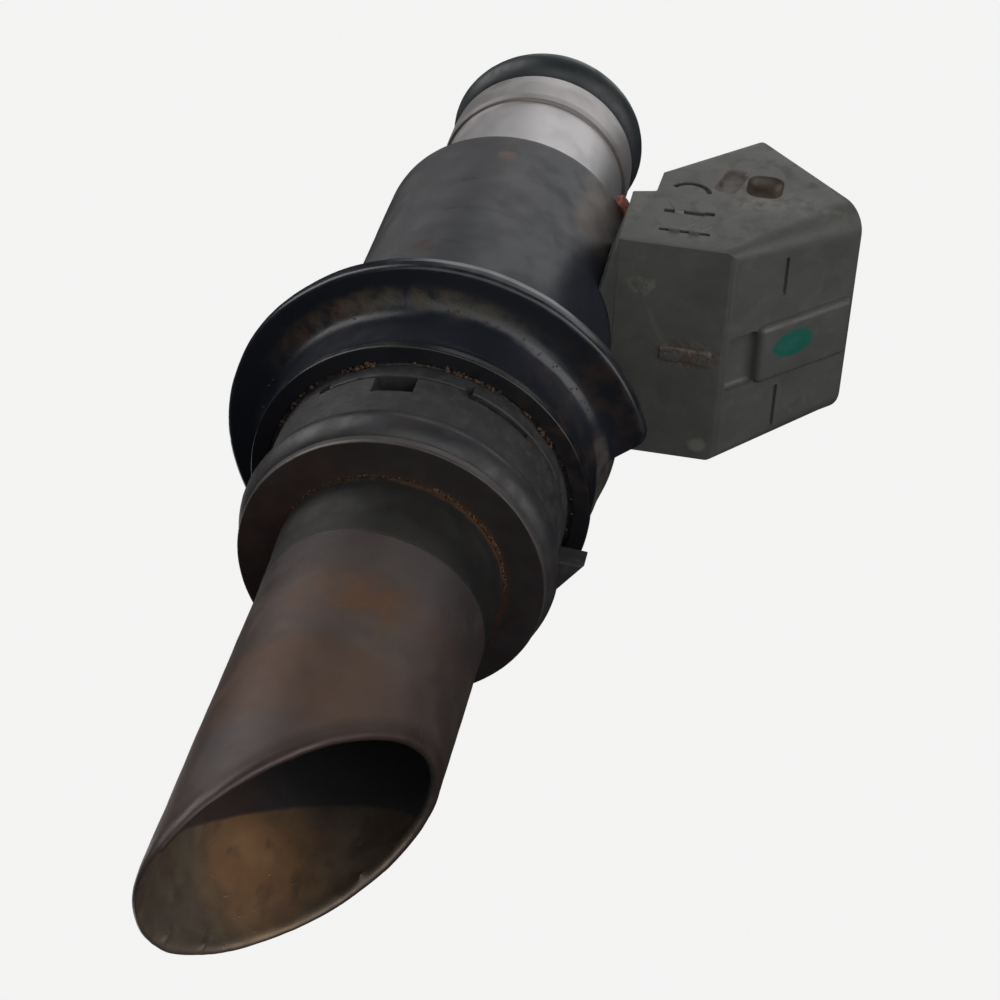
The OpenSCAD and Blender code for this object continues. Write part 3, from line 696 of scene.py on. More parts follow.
paint = {
    "tube": stained_steel(),
    "root": root_steel(),
    "retainer": retainer_metal(),
    "seal": rubber("seal_rubber", (0.023, 0.023, 0.026), (0.034, 0.030, 0.030), 41),
    "upper_seal": rubber("upper_seal_rubber", (0.021, 0.026, 0.028), (0.028, 0.032, 0.036), 45),
    "ring": ring_plastic(),
    "collar": collar_plastic(),
    "sleeve": sleeve_paint(),
    "connector": connector_plastic(),
    "inlet": bright_steel(),
    "machined": machined("machined_steel", (0.42, 0.42, 0.42), 0.35, 0.9, 151),
    "spring": machined("spring_wire", (0.36, 0.36, 0.37), 0.3, 0.95, 155),
    "copper": machined("copper_wire", (0.50, 0.20, 0.09), 0.4, 0.8, 159, DIRT),
    "tin": machined("tinned_pins", (0.60, 0.56, 0.46), 0.32, 0.9, 163, OCHRE),
    "brass": machined("turned_brass", (0.55, 0.40, 0.16), 0.34, 0.9, 167, OCHRE),
    "nylon": machined("natural_nylon", (0.55, 0.51, 0.42), 0.5, 0.0, 171, OCHRE),
    "crumbs": crumb_dirt(),
    "gap_shade": gap_shade_and_dirt(),
    "marker": marker_paint(),
}

# ---------------------------------------------------------------- deflector tube


def cut_height(x, y):
    """Height of the slant cut above a point, with the small waves left by the saw."""
    wave = 0.05 * noise.noise(Vector((x, y, 3.0)) / 1.4) + 0.02 * noise.noise(Vector((x, y, 8.0)) / 0.35)
    worn_tip = 0.28 * max(0.0, -x - 4.2)
    return CUT_Z + CUT_SLOPE * x + 0.04 * y + wave + worn_tip


def deflector_tube():
    """A thin tube whose wall follows the slant cut, with a rounded lip and small burrs."""
    bore = TUBE_R - TUBE_WALL
    top = tube_high.z
    outer = [(TUBE_R, k / 70) for k in range(71)]
    lip = []
    for k in range(1, 8):
        half_turn = math.pi * k / 8
        lip.append((TUBE_R - TUBE_WALL * (0.5 - 0.5 * math.cos(half_turn)),
            1.0 + 0.035 * math.sin(half_turn)))
    inner = [(bore, 1 - k / 50) for k in range(51)]
    outline = outer + lip + inner
    burrs = ((-103, 3.5), (-86, 3.0), (150, 2.5), (128, 2.0), (60, 2.5))

    def shape(angle, r, drop, index):
        a = math.radians(angle)
        low = cut_height(TUBE_R * math.cos(a), TUBE_R * math.sin(a))
        z = top + (low - top) * drop
        dent = 0.035 * grain(angle, TUBE_R, z, 4.0, 1) + 0.010 * grain(angle, TUBE_R, z, 0.9, 2)
        near_lip = max(0.0, 1 - abs(drop - 1) / 0.03)
        ripple = 0.03 * grain(angle, TUBE_R, 0, 0.8, 3) * near_lip
        for place, width in burrs:
            swell = max(0.0, 1 - abs(angle - place) / width) * near_lip
            ripple -= 0.14 * swell if r < TUBE_R - 0.3 * TUBE_WALL else 0.0
            z -= 0.06 * swell
        return r + dent * (0.4 + 0.6 * min(1, drop * 6)) + ripple, z, 0.0, 0.0

    piece = lathe("deflector_tube_skin", [Vector(p) for p in outline], turns(360), shape)
    return settle(piece, "stained_steel", paint["tube"], "deflector_tube")


def weld_bead():
    """The fine uneven seam between the tube and its root."""
    z = tube_high.z
    corners = [
        (TUBE_R - 0.06, z - 0.11, 0), (TUBE_R + 0.02, z - 0.08, 0.05),
        (TUBE_R + 0.035, z + 0.05, 0.05), (TUBE_R - 0.06, z + 0.1, 0),
    ]
    outline = divided(rounded(corners), 0.05)

    def shape(angle, r, height, index):
        ripple = 0.010 * grain(angle, r, 0, 0.35, 4) + 0.015 * grain(angle, r, 0, 1.1, 5)
        return r + ripple * (r > TUBE_R), height + 0.02 * grain(angle, r, 0, 1.6, 6), 0.0, 0.0

    piece = lathe("seam_bead", outline, turns(540), shape)
    return settle(piece, "dull_steel", paint["root"])


def root_collar():
    """The steel band at the tube's root, which flares out to the retainer."""
    base = TUBE_R + 0.02
    bore = TUBE_R - TUBE_WALL - 0.01
    corners = [
        (ROOT_BORE_R, root_low.z, 0.05), (bore, root_low.z, 0.15), (bore, tube_high.z, 0),
        (base, tube_high.z, 0.03), (base + 0.02, -2.4, 1.0), (root_high.x, -0.9, 0.9),
        (root_high.x, -0.01, 0.02),
        (NOSE_R, -0.01, 0.05), (NOSE_R, -1.5, 0.05), (ROOT_BORE_R, -1.5, 0.05),
    ]

    def shape(angle, r, z, index):
        wear = 0.012 * grain(angle, r, z, 0.8, 7) if r > TUBE_R - 0.1 else 0.0
        return r + wear, z, 0.0, 0.0

    piece = lathe("root_collar_skin", divided(rounded(corners), 0.12), turns(300), shape)
    return settle(piece, "dull_steel", paint["root"], "deflector_collar")


# ---------------------------------------------------------------- lower seal stack


def retainer_disc():
    """The dark disc, with a broken edge and a slightly dished face."""
    corners = [
        (NOSE_R, 0.02, 0.05), (6.4, 0.02, 0.3), (RETAINER_R - 0.05, 0.0, 0.07), (RETAINER_R, 0.14, 0.06),
        (RETAINER_R, retainer_high.z, 0.08), (NOSE_R, retainer_high.z, 0.05),
    ]

    def shape(angle, r, z, index):
        nick = 0.03 * max(0.0, grain(angle, r, 0, 0.5, 9) - 0.45) if r > RETAINER_R - 0.3 else 0.0
        out = r - nick * 2 + 0.01 * grain(angle, r, z, 2.0, 10)
        return out, z + 0.015 * grain(angle, r, 0, 1.2, 11), 0.0, 0.0

    piece = lathe("retainer_disc", divided(rounded(corners), 0.12), turns(360), shape)
    return settle(piece, "retainer_steel", paint["retainer"], "seal_retainer")


def seal(name, outer_r, section, z, slot, material, node, flash=0.02, wobble=0.03, flat=0.0):
    """A round seal with a faint moulding line, slightly uneven."""
    outline = []
    for k in range(48):
        t = 2 * math.pi * k / 48
        line = flash * max(0.0, 1 - abs(math.cos(t) - 1) / 0.012)
        r = outer_r - section + (section - flash + line) * math.cos(t)
        outline.append(Vector((r, z + (section - 0.01) * math.sin(t))))

    def shape(angle, r, height, index):
        push = wobble * grain(angle, outer_r, 0, 4.0, 12) + 0.006 * grain(angle, r, height, 0.5, 13)
        squash = flat * max(0.0, r - outer_r + section)
        return r + min(push, 0.01) - squash, height + 0.015 * grain(angle, r, 0, 3.0, 14), 0.0, 0.0

    piece = lathe(name, outline, turns(288), shape, sharp=60)
    return settle(piece, slot, material, node)


def relief_ring(name, corners, recesses, angles, slot, material, *nodes):
    """A ring whose outer wall is cut back inside each (low, high angle, low z, high z, depth) recess."""
    edge = max(c[0] for c in corners)

    def shape(angle, r, z, index):
        cut = 0.0
        if r > edge - 0.45:
            for low, high, z_low, z_high, depth in recesses:
                if low < angle < high and z_low < z < z_high:
                    cut = max(cut, depth)
        wear = 0.02 * grain(angle, r, z, 0.7, 15) + 0.012 * grain(angle, r, z, 0.25, 16)
        return r - cut + wear, z + 0.012 * grain(angle, r, z, 0.8, 17), 0.0, 0.0

    piece = lathe(name, divided(rounded(corners, 4), 0.07), angles, shape, sharp=32)
    return settle(piece, slot, material, *nodes)


def support_ring():
    """The ring above the seal: a window and a thin slot in each half of its top edge, and the ear."""
    top = support_high.z
    low = support_low.z
    corners = [
        (NOSE_R + 0.03, low, 0.05), (6.8, low, 0.2), (RING_R - 0.03, low - 0.28, 0.05),
        (RING_R, low - 0.12, 0.05), (RING_R, top - 0.12, 0.05), (RING_R - 0.1, top, 0.05),
        (NOSE_R + 0.03, top, 0.05),
    ]
    recesses = []
    edges = []
    for first in (-98, 82):
        window = (first, 8, top - 1.3, 1.1)
        slot = (first + 40.5, 14.5, top - 0.45, 0.6)
        for centre, half, z_low, depth in (window, slot):
            recesses.append((centre - half, centre + half, z_low, top + 1, depth))
            for end in (centre - half, centre + half):
                edges.append((end - 0.3, end + 0.3, 0.15))
    angles = turns(300, *edges)
    ring = relief_ring("support_ring", corners, recesses, angles, "ring_plastic", paint["ring"],
        "seal_support_ring")
    ear()
    return ring


def ear():
    """The support ring's ear: steep at its tip, with a straight ramp back to the ring."""
    tip_r = 8.62
    turn = math.radians(4)
    sweep = math.acos(RING_R / tip_r)
    root = RING_R - 0.4
    outline = [(root, 0), (tip_r, 0), (RING_R * math.cos(sweep), RING_R * math.sin(sweep)),
        (root * math.cos(sweep), root * math.sin(sweep))]
    piece = prism("support_ring_ear", [Vector(p) for p in outline], 3.3, 4.58, 0.12,
        Matrix.Rotation(turn, 4, "Z"))
    tidy_mesh(piece)
    return settle(piece, "ring_plastic", paint["ring"])


def clip_ring():
    """The plain black ring under the collar's lip, with a shallow groove."""
    low, top = clip_low.z, clip_high.z
    groove = low + 0.9
    corners = [
        (NOSE_R + 0.03, low, 0.05), (RING_R - 0.02, low, 0.1), (RING_R, groove - 0.1, 0.04),
        (RING_R - 0.22, groove, 0.04),
        (RING_R, groove + 0.1, 0.04), (RING_R - 0.05, top, 0.1), (NOSE_R + 0.03, top, 0.05),
    ]
    chips = [(-131, -126, low - 1, low + 0.35, 0.3), (-72, -69, low - 1, low + 0.5, 0.35),
        (-20, -14, low - 1, low + 0.3, 0.3)]
    return relief_ring("clip_ring_skin", corners, chips, turns(300, (-132, -125, 0.5), (-73, -68, 0.5)),
        "ring_plastic", paint["ring"], "clip_ring")


# ---------------------------------------------------------------- collar, sleeve and inlet


# The flange's cut: where it faces, in degrees, and half the angle over which it shapes the rim.
CUT_TURN = 24
RIM_HALF = 38
# Its two straight edges: their distance from the axis, and the cosine and sine of their lean.
EDGE_AWAY = 5.028
EDGE_COS = 0.913
EDGE_SIN = 0.4075


def softer(a, b, blend):
    """The smaller of two lengths, with a rounded change from one to the other."""
    gap = a - b
    return (a + b - math.sqrt(gap * gap + blend * blend)) / 2


def cut_wall(z):
    """Radius of the wall that the flange's cut leaves on the connector's side."""
    return 8.28 + 0.07 * max(0.0, z - 9) + 0.10 * max(0.0, z - 11.2)


def cut_reach(angle, z):
    """How far out the collar reaches at this angle, once the flange has been cut away."""
    turn = abs(angle - CUT_TURN)
    if turn > RIM_HALF + 3:
        return 99.0
    wall = cut_wall(z)
    a = math.radians(turn)
    line = EDGE_AWAY / max(0.05, EDGE_COS * math.cos(a) - EDGE_SIN * math.sin(a))
    return -softer(-wall, -line, 0.35)


def flange_collar():
    """Neck, lip, bell-shaped flange and skirt in one turning, with one side of the flange cut away."""
    lip_z = collar_low.z
    rim_z = 9.85
    recess_r = 7.5
    corners = [
        (recess_r, lip_z, 0.05), (8.32, lip_z + 0.02, 0.10), (8.33, lip_z + 0.42, 0.14),
        (NECK_R - 0.03, lip_z + 0.8, 0.3),
        (NECK_R, rim_z - 0.05, 1.35), (FLANGE_R - 0.02, rim_z + 0.02, 0.34),
        (FLANGE_R, rim_z + 0.55, 0.22), (FLANGE_R - 0.12, rim_z + 1.02, 0.3),
        (8.93, 12.8, 0.5), (7.72, 13.6, 0.3), (SLEEVE_R + 0.02, 13.68, 0.04),
        (SLEEVE_R + 0.02, 12.23, 0), (5.42, 12.23, 0), (5.42, 8.63, 0), (NOSE_R, 8.63, 0),
        (NOSE_R, 7.4, 0), (recess_r, 7.4, 0.06),
    ]
    shift = Vector((0.22, 0.15))

    def shape(angle, r, z, index):
        out = min(1.0, max(0.0, (r - 8.6) / 1.5))
        dent = 0.035 * grain(angle, r, z, 2.6, 21) * out + 0.008 * grain(angle, r, z, 0.6, 22)
        nick = 0.10 * max(0.0, grain(angle, r, 0, 0.7, 23) - 0.5) * (out > 0.95)
        r = r + dent - nick
        if 8.6 < z < 12.95 and r > NECK_R:
            reach = cut_reach(angle, z) + 0.02 * grain(angle, 8, z, 0.9, 25)
            if r > reach - 0.6:
                r = max(NECK_R, softer(r, reach, 0.25))
                out = min(1.0, max(0.0, (r - 8.6) / 1.5))
        return r, z + 0.05 * grain(angle, r, 0, 6.0, 24) * out, shift.x * out * 0.5, shift.y * out * 0.5

    start, stop = CUT_TURN - RIM_HALF - 2, CUT_TURN + RIM_HALF + 2
    angles = turns(320, (start, start + 13, 0.4), (stop - 13, stop, 0.4))
    piece = lathe("flange_collar_skin", divided(rounded(corners, 8), 0.14), angles, shape, sharp=42)
    return settle(piece, "collar_plastic", paint["collar"], "flange_collar")


def body_sleeve():
    """The painted sleeve, rolled in at the top."""
    top = sleeve_high.z
    corners = [
        (6.1, sleeve_low.z, 0), (SLEEVE_R, sleeve_low.z, 0.1), (SLEEVE_R, top, 0.22), (6.2, top - 0.02, 0.15),
        (INLET_R + 0.08, top - 0.10, 0.08), (INLET_R + 0.06, top - 0.8, 0), (6.1, top - 0.8, 0),
    ]

    def shape(angle, r, z, index):
        if r < INLET_R + 0.1:
            return r, z, 0.0, 0.0
        dent = 0.020 * grain(angle, r, z, 3.5, 31) + 0.006 * grain(angle, r, z, 0.8, 32)
        return r + dent - 0.01, z + 0.012 * grain(angle, r, 0, 1.4, 33) * (z > top - 1), 0.0, 0.0

    piece = lathe("body_sleeve_skin", divided(rounded(corners, 8), 0.2), turns(320), shape)
    return settle(piece, "painted_sleeve", paint["sleeve"], "body_sleeve")


def inlet_tube():
    """The bright inlet: plain tube, a step to its collar, the seal's groove and the end lip."""
    step_z = 37.25
    seal_z = (upper_low.z + upper_high.z) / 2
    low, high = seal_z - UPPER_SECTION - 0.08, seal_z + UPPER_SECTION + 0.08
    floor = UPPER_R - 2 * UPPER_SECTION - 0.02
    bore = 2.77
    top = inlet_high.z
    foot = sleeve_high.z - 0.85
    corners = [
        (3.45, inlet_low.z, 0), (5.9, inlet_low.z, 0), (5.9, foot, 0), (INLET_R - 0.15, foot, 0),
        (INLET_R - 0.15, sleeve_high.z + 0.2, 0),
        (INLET_R, sleeve_high.z + 0.25, 0.03), (INLET_R, step_z - 0.06, 0.06),
        (INLET_COLLAR_R - 0.05, step_z, 0.04),
        (INLET_COLLAR_R, step_z + 0.5, 0.5), (INLET_COLLAR_R, 39.2, 1.2),
        (INLET_COLLAR_R - 0.06, 40.0, 0.15), (4.9, low, 0.1),
        (floor, low, 0.15), (floor, high, 0.15), (4.4, high, 0.1),
        (4.4, top - 0.35, 0.15), (4.1, top, 0.12), (bore, top, 0.2), (bore, 31, 0), (3.45, 31, 0),
    ]

    def shape(angle, r, z, index):
        if z < sleeve_high.z + 0.1:
            return r, z, 0.0, 0.0
        tool = 0.0015 * math.sin(z * 2 * math.pi / 0.28)
        return r + tool + 0.006 * grain(angle, r, z, 3.5, 41) - 0.006, z, 0.0, 0.0

    piece = lathe("inlet_tube_skin", divided(rounded(corners, 8), 0.07), turns(288), shape)
    return settle(piece, "bright_steel", paint["inlet"], "inlet_tube")


# ---------------------------------------------------------------- connector

MOUTH_LOW = Vector((19.041, 27.581))
MOUTH_HIGH = Vector((12.797, 33.825))
SOCKET_H = 8.83
FACE_Z = conn_low.z
CORNER_X = 12.96
CONN_ROOT_X = 6.95
ROOT_TOP = 26.46
SHOULDER = (8.15, 26.8)


def prism(name, outline, low, high, bevel, matrix=None, steps=4):
    """A solid from an outline in X and Y, between two heights, with rounded end edges."""
    work = bmesh.new()
    base = work.faces.new([work.verts.new((p.x, p.y, low)) for p in outline])
    made = bmesh.ops.extrude_face_region(work, geom=[base])
    moved = [g for g in made["geom"] if isinstance(g, bmesh.types.BMVert)]
    bmesh.ops.translate(work, verts=moved, vec=(0, 0, high - low))
    bmesh.ops.recalc_face_normals(work, faces=work.faces)
    ends = [e for e in work.edges if abs(e.verts[0].co.z - e.verts[1].co.z) < 1e-6]
    bmesh.ops.bevel(work, geom=ends, offset=bevel, segments=steps, profile=0.5, affect="EDGES",
        clamp_overlap=True)
    if matrix:
        work.transform(matrix)
    return object_from(work, name)


def loft(name, sections, matrix):
    """A solid through closed sections, each a height and a list of (x, y) points."""
    work = bmesh.new()
    rings = [[work.verts.new((x, y, z)) for x, y in points] for z, points in sections]
    for lower, upper in zip(rings, rings[1:]):
        count = len(lower)
        for i in range(count):
            j = (i + 1) % count
            work.faces.new((lower[i], lower[j], upper[j], upper[i]))
    work.faces.new(rings[0])
    work.faces.new(rings[-1])
    bmesh.ops.recalc_face_normals(work, faces=work.faces)
    work.transform(matrix)
    return object_from(work, name)


def soft_rectangle(height, width, under_r, back_r, steps=8):
    """Points round a rectangle, with one radius for the corners at +X and another for those at -X."""
    points = []
    corners = ((1, 1, under_r), (-1, 1, back_r), (-1, -1, back_r), (1, -1, under_r))
    for corner, (x, y, radius) in enumerate(corners):
        for k in range(steps + 1):
            a = math.pi / 2 * (corner + k / steps)
            across = x * (height / 2 - radius) + radius * math.cos(a)
            points.append((across, y * (width / 2 - radius) + radius * math.sin(a)))
    return points


def socket_frame():
    """Matrix of the socket's own axes at the middle of its mouth: X across, Z outwards."""
    middle = (MOUTH_LOW + MOUTH_HIGH) / 2
    return Matrix.Translation((middle.x, 0, middle.y)) @ Matrix.Rotation(SOCKET_LEAN, 4, "Y")


def side_marks(half):
    """Shallow generic moulding marks on the side faces: an arc and two short bars."""
    marks = []
    for side in (-1, 1):
        y = side * half
        for k in range(5):
            x = 8.8 + 0.52 * k
            for z, high in ((24.8 + 0.09 * math.sin(2.3 * k + side), 0.36), (22.85, 0.26)):
                marks.append(block("mark", (x, y - 0.14, z), (x + 0.56, y + 0.14, z + high), 0.06, 2))
        for k in range(7):
            angle = math.radians(20 + k * 20)
            centre = Vector((9.9 + 1.0 * math.cos(angle), 0, 27.0 + 0.95 * math.sin(angle)))
            turn = Matrix.Translation(centre) @ Matrix.Rotation(-angle, 4, "Y")
            marks.append(block("mark", (-0.15, y - 0.14, -0.2), (0.15, y + 0.14, 0.2), 0.04, 2, turn))
    return marks


def socket_outside(half, place):
    """The moulding's outside: its outline, met by a bar whose long edges grow rounder to the mouth."""
    back = Vector((math.sin(SOCKET_LEAN), math.cos(SOCKET_LEAN)))
    heel = MOUTH_HIGH - 6.4 * back
    outline = rounded([
        (CONN_ROOT_X, FACE_Z, 0.1), (CORNER_X, FACE_Z, 0.8), (MOUTH_LOW.x + back.x, MOUTH_LOW.y + back.y, 0),
        (MOUTH_HIGH.x + back.x, MOUTH_HIGH.y + back.y, 0), (heel.x, heel.y, 0.3), (*SHOULDER, 0.2),
        (CONN_ROOT_X, ROOT_TOP, 0.1),
    ], 6)
    body = prism("connector_shell", outline, -half, half, 0.45, Matrix.Rotation(math.radians(90), 4, "X"))
    sections = []
    lip = 0.22
    lip_start = -0.14
    for z in (-18, *range(-9, 0), lip_start):
        under_r = 0.5 + 1.0 * min(1.0, max(0.0, (z + 9) / 8))
        sections.append((z, soft_rectangle(SOCKET_H, 2 * half, under_r, 0.55)))
    for k in range(1, 7):
        a = math.pi / 2 * k / 6
        inset = lip * (1 - math.cos(a))
        end = soft_rectangle(SOCKET_H - 2 * inset, 2 * (half - inset), 1.5 - inset, 0.55)
        sections.append((lip_start + lip * math.sin(a), end))
    combine(body, loft("bar", sections, place), "INTERSECT")
    return body


def neck():
    """The narrower root that meets the painted sleeve."""
    low_y, high_y, sleeve_x = 3.3, 6.2, 6.15
    outline = [
        (4.9, -low_y), (sleeve_x, -low_y), (CONN_ROOT_X, -high_y), (CONN_ROOT_X + 0.6, -high_y),
        (CONN_ROOT_X + 0.6, high_y), (CONN_ROOT_X, high_y), (sleeve_x, low_y), (4.9, low_y),
    ]
    piece = prism("neck", [Vector(p) for p in outline], FACE_Z + 0.02, ROOT_TOP, 0.12)
    wall = [Vector((SLEEVE_R + 0.02, 15)), Vector((SLEEVE_R + 0.02, 35)), Vector((3, 35)), Vector((3, 15))]
    combine(piece, lathe("sleeve_room", wall, turns(180)), "DIFFERENCE")
    return piece


def gate_mark():
    """The rough, slightly raised trace of the moulding gate on the tip face."""
    piece = block("gate", (9.55, -0.42, FACE_Z - 0.16), (12.25, 0.42, FACE_Z + 0.3), 0.12, 3)
    work = bmesh.new()
    work.from_mesh(piece.data)
    bmesh.ops.subdivide_edges(work, edges=work.edges, cuts=4, use_grid_fill=True)
    for vertex in work.verts:
        if vertex.co.z < FACE_Z * MM:
            place = vertex.co / MM
            across = noise.noise(place / 0.5)
            along = noise.noise(place / 0.45 + Vector((9, 0, 0)))
            up = 0.6 * noise.noise(place / 0.4 + Vector((0, 9, 0)))
            vertex.co += 0.12 * MM * Vector((across, along, up))
    work.to_mesh(piece.data)
    work.free()
    return piece


def connector():
    """The grey socket: rounded moulding, hollow mouth, latch rib, recesses and marks."""
    half = conn_high.y - 0.02
    place = socket_frame()
    body = socket_outside(half, place)
    height, width, depth = SOCKET_H - 1.9, 2 * half - 1.86, 7.4
    face = SOCKET_H / 2
    rib = block("rib", (face - 0.5, -1.4, -6.5), (face + 0.4, 2.1, -0.3), 0.36, 5, place)
    combine(body, rib, "UNION")
    latch_recess = (-1.2, 2.07, 0.42, -8.4, -6.5)
    left_slit = (-5.15, -2.85, 0.2, -5.12, -4.88)
    right_slit = (2.8, 5.5, 0.2, -4.92, -4.68)
    for y_low, y_high, deep, z_low, z_high in (latch_recess, left_slit, right_slit):
        bevel = 0.25 if deep > 0.3 else 0.1
        cutter = block("cutter", (face - deep, y_low, z_low), (face + 1, y_high, z_high), bevel, 4, place)
        combine(body, cutter, "DIFFERENCE")
    hollow = block("hollow", (-height / 2, -width / 2, -depth), (height / 2, width / 2, 3), 0.45, 4, place)
    combine(body, hollow, "DIFFERENCE")
    key = block("key", (height / 2 - 0.3, -0.9, -depth + 0.1), (height / 2 + 0.3, 0.9, 3), 0.1, 2, place)
    combine(body, key, "DIFFERENCE")
    for side in (-1, 1):
        y = side * half
        tilt = Matrix.Translation((11.9, 0, 28.75)) @ Matrix.Rotation(math.radians(14), 4, "Y")
        floor, out = sorted((side * (half - 0.2), side * (half + 1.5)))
        pocket = block("pocket", (-0.7, floor, -1.4), (0.7, out, 1.4), 0.45, 5, tilt)
        combine(body, pocket, "DIFFERENCE")
        floor, out = sorted((side * (half - 0.6), side * (half + 1.5)))
        oval = block("oval", (12.7, floor, 27.45), (14.65, out, 29.8), 0.7, 6)
        combine(body, oval, "DIFFERENCE")
    for mark in side_marks(half):
        combine(body, mark, "DIFFERENCE")
    combine(body, neck(), "UNION")
    combine(body, gate_mark(), "UNION")
    tidy_mesh(body, sharp=30)
    soft_edges(body, 0.06, 2)
    return settle(body, "connector_plastic", paint["connector"], "connector_body")


# ---------------------------------------------------------------- dirt


def crumbs(name, count, seed, slot, placer, sizes):
    """Small irregular grains, each half sunk in the surface that placer gives."""
    chance = random.Random(seed)
    work = bmesh.new()
    for _ in range(count):
        place = placer(chance)
        size = chance.uniform(*sizes)
        made = bmesh.ops.create_icosphere(work, subdivisions=2, radius=size)
        stretch = Vector((chance.uniform(0.7, 1.5), chance.uniform(0.7, 1.5), chance.uniform(0.5, 1.1)))
        for vertex in made["verts"]:
            bump = 1 + 0.35 * noise.noise(vertex.co / size + place)
            vertex.co = Vector(a * b for a, b in zip(vertex.co, stretch)) * bump + place
    piece = object_from(work, name)
    tidy_mesh(piece, merge=0.0005, sharp=60)
    return settle(piece, slot, paint["crumbs"])


def ring_place(radius, height, spread_r, spread_z, low, high):
    """A placer on a ring, between two angles."""
    def place(chance):
        angle = math.radians(chance.uniform(low, high))
        r = radius + chance.uniform(-spread_r, spread_r)
        z = height + chance.uniform(-spread_z, spread_z)
        return Vector((r * math.cos(angle), r * math.sin(angle), z))
    return place


def gap_fill():
    """A near-black fill in the narrow gap between the clip ring and the collar's lip: painted shade, with
    rusty dirt grains.
    """
    inner, outer, low, high = RING_R - 0.02, 7.52, 6.56, 6.95
    corners = [Vector((inner, low)), Vector((outer, low)), Vector((outer, high)), Vector((inner, high))]
    outline = divided(corners, 0.1)

    def shape(angle, r, z, index):
        lump = 0.10 * grain(angle, r, 0, 0.5, 51) + 0.06 * grain(angle, r, 0, 0.2, 52)
        return r, z + lump * (z < 6.7), 0.0, 0.0

    # Painted shade: a near-black ring fills the gap.
    piece = lathe("gap_shade_fill", outline, turns(540), shape)
    return settle(piece, "ring_plastic", paint["gap_shade"])


def paint_drop():
    """A thick orange-red drop of marking paint at the sleeve's top edge, beside the connector."""
    a = math.radians(-28)
    middle = Vector((7.05 * math.cos(a), 7.05 * math.sin(a), 30.05))
    work = bmesh.new()
    bmesh.ops.create_icosphere(work, subdivisions=4, radius=1.0)
    turn = Matrix.Rotation(a, 4, "Z")
    for vertex in work.verts:
        bump = 1 + 0.22 * noise.noise(vertex.co * 1.6) + 0.08 * noise.noise(vertex.co * 5)
        flat = Vector((0.32 * vertex.co.x, 0.8 * vertex.co.y, 0.36 * vertex.co.z))
        vertex.co = middle + turn @ flat * bump
    piece = object_from(work, "paint_drop")
    tidy_mesh(piece, merge=0.0005, sharp=60)
    return settle(piece, "painted_sleeve", paint["marker"])


def dirt():
    """Grains in the collar's gap, in its fillet, on the rings and round the tube's root."""
    gap_fill()
    stretches = ((-121, -107, 26), (-85, -60, 40), (-40, -31, 18), (-180, 180, 60))
    for number, (low, high, count) in enumerate(stretches):
        place = ring_place(7.4, 6.38, 0.12, 0.08, low, high)
        crumbs(f"gap_crumbs_{number + 1}", count, 11 + number, "ring_plastic", place, (0.04, 0.11))
    crumbs("fillet_crumbs", 60, 2, "collar_plastic", ring_place(8.62, 9.37, 0.05, 0.1, 70, 340), (0.02, 0.05))
    crumbs("band_crumbs", 60, 3, "ring_plastic", ring_place(7.25, 4.6, 0.02, 1.3, -180, 180), (0.015, 0.035))
    crumbs("root_crumbs", 130, 4, "dull_steel", ring_place(5.40, 0.0, 0.05, 0.02, -150, 5), (0.02, 0.05))
    crumbs("root_rust", 90, 5, "dull_steel", ring_place(5.42, 0.0, 0.08, 0.03, -70, 0), (0.03, 0.06))
    paint_drop()


# ---------------------------------------------------------------- inner pieces that CAD keeps


def inner_nodes():
    """Better materials for the CAD nodes that stay."""
    nodes = frame["nodes"]
    kept = {
        "machined": (
            "valve_body", "orifice_plate", "valve_seat", "valve_ball", "valve_stem", "armature",
            "guide_sleeve", "pole_core", "flux_washer",
        ),
        "spring": ("return_spring",),
        "brass": ("adjusting_sleeve", "filter_collar"),
        "copper": ("coil_winding",),
        "nylon": ("coil_bobbin", "filter_frame", "filter_mesh"),
        "tin": ("terminals",),
        "seal": ("seat_o_ring",),
    }
    for finish, names in kept.items():
        for name in names:
            node = nodes[name]
            node.data.materials.clear()
            node.data.materials.append(paint[finish])
    soft_edges(nodes["terminals"], 0.14, 3)


# ---------------------------------------------------------------- camera, light and floor


def camera():
    """The photograph's view: from below and in front of the tip, towards the inlet."""
    data = bpy.data.cameras.new("camera")
    data.sensor_width = 36.0
    data.lens = 96.17
    eye = bpy.data.objects.new("camera", data)
    bpy.context.scene.collection.objects.link(eye)
    place = Vector((20.08, -76.32, -95.04)) * MM
    aim = Vector((4.95, -4.90, 0.19)) * MM
    roll = math.radians(17.97)
    look = (aim - place).to_track_quat("-Z", "Y").to_matrix().to_4x4()
    eye.matrix_world = Matrix.Translation(place) @ look @ Matrix.Rotation(roll, 4, "Z")
    data.clip_start = 0.005
    data.clip_end = 10.0
    bpy.context.scene.camera = eye


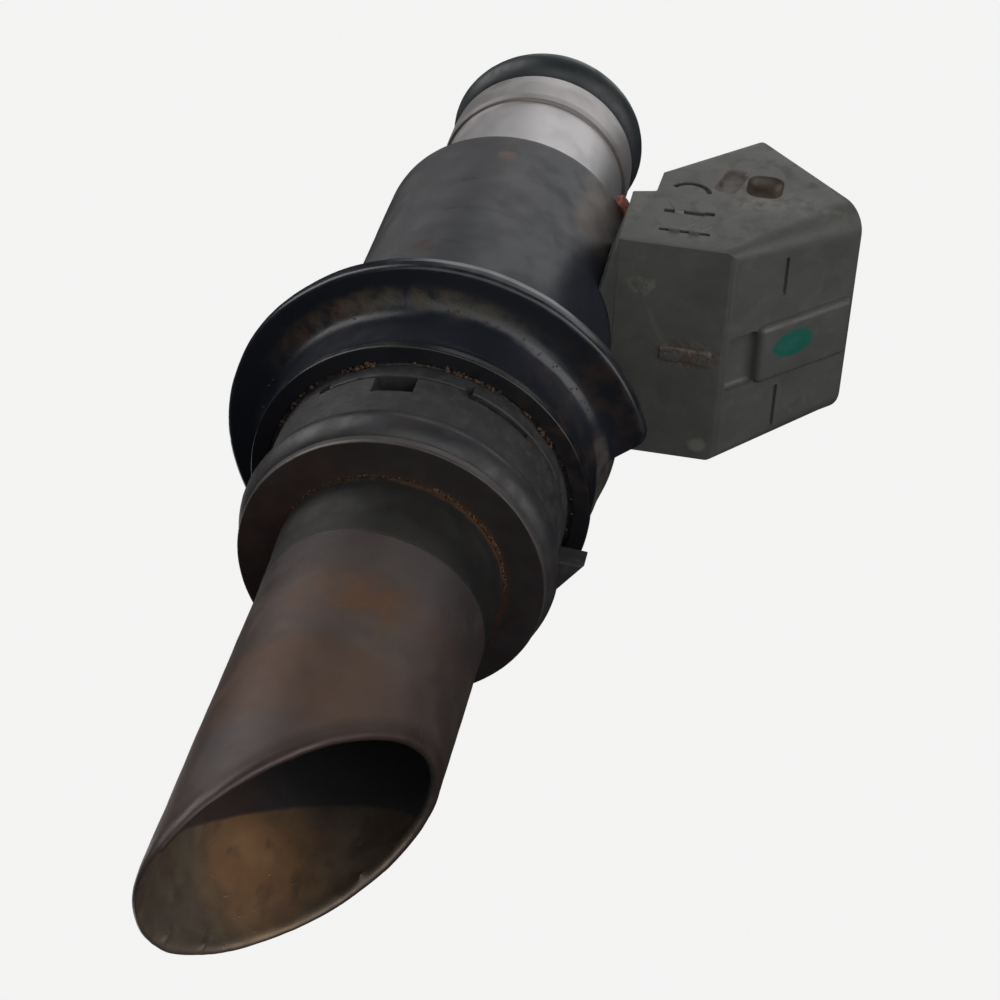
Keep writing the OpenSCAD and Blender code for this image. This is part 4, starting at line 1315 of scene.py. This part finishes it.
def soft_light(name, place, size, power, tint=(1.0, 1.0, 1.0)):
    """A square area light in metres, turned towards the object."""
    data = bpy.data.lights.new(name, "AREA")
    data.shape = "SQUARE"
    data.size = size
    data.energy = power
    data.color = tint
    lamp = bpy.data.objects.new(name, data)
    lamp.visible_camera = False
    bpy.context.scene.collection.objects.link(lamp)
    place = Vector(place)
    lamp.location = place
    lamp.rotation_mode = "QUATERNION"
    lamp.rotation_quaternion = (Vector((0.003, 0, 0.01)) - place).to_track_quat("-Z", "Y")


def stage():
    """A pale floor well below the injector, and a pale surround that only the camera sees."""
    work = bmesh.new()
    bmesh.ops.create_grid(work, x_segments=8, y_segments=8, size=1.5)
    mesh = bpy.data.meshes.new("floor")
    work.to_mesh(mesh)
    work.free()
    floor = bpy.data.objects.new("floor", mesh)
    floor.location.z = -0.14
    floor.visible_shadow = False
    floor.visible_diffuse = False
    floor.visible_glossy = False
    bpy.context.scene.collection.objects.link(floor)
    s = Surface("floor_paint", (0.003, 0.003, 0.003), 1.0, Emission_Color=PALE, Emission_Strength=1.0,
        Specular_IOR_Level=0.0)
    s.paint((0.006, 0.006, 0.006), s.noise(60, 3, seed=201))
    mesh.materials.append(s.finish())
    world = bpy.data.worlds.new("surround")
    world.use_nodes = True
    world.node_tree.nodes["Background"].inputs["Color"].default_value = PALE
    world.node_tree.nodes["Background"].inputs["Strength"].default_value = 1.0
    world.cycles_visibility.diffuse = False
    world.cycles_visibility.glossy = False
    bpy.context.scene.world = world
    bpy.context.scene.view_settings.view_transform = "Standard"
    soft_light("key", (-0.36, -0.25, 0.12), 0.40, 1.35)
    soft_light("top", (0.08, -0.12, 0.45), 0.40, 0.6)
    soft_light("front_fill", (0.06, -0.26, -0.33), 0.45, 0.8)
    soft_light("side_fill", (0.38, -0.18, -0.14), 0.40, 1.05)
    soft_light("back_fill", (-0.20, 0.42, 0.15), 0.45, 0.9)


deflector_tube()
weld_bead()
root_collar()
retainer_disc()
seal("lower_seal", SEAL_R - 0.01, SEAL_SECTION, (seal_low.z + seal_high.z) / 2, "seal_rubber",
    paint["seal"], "lower_o_ring")
support_ring()
clip_ring()
flange_collar()
body_sleeve()
inlet_tube()
seal("upper_seal", UPPER_R - 0.01, UPPER_SECTION, (upper_low.z + upper_high.z) / 2, "inlet_seal_rubber",
    paint["upper_seal"], "upper_o_ring", wobble=0.02)
connector()
dirt()
inner_nodes()
camera()
stage()
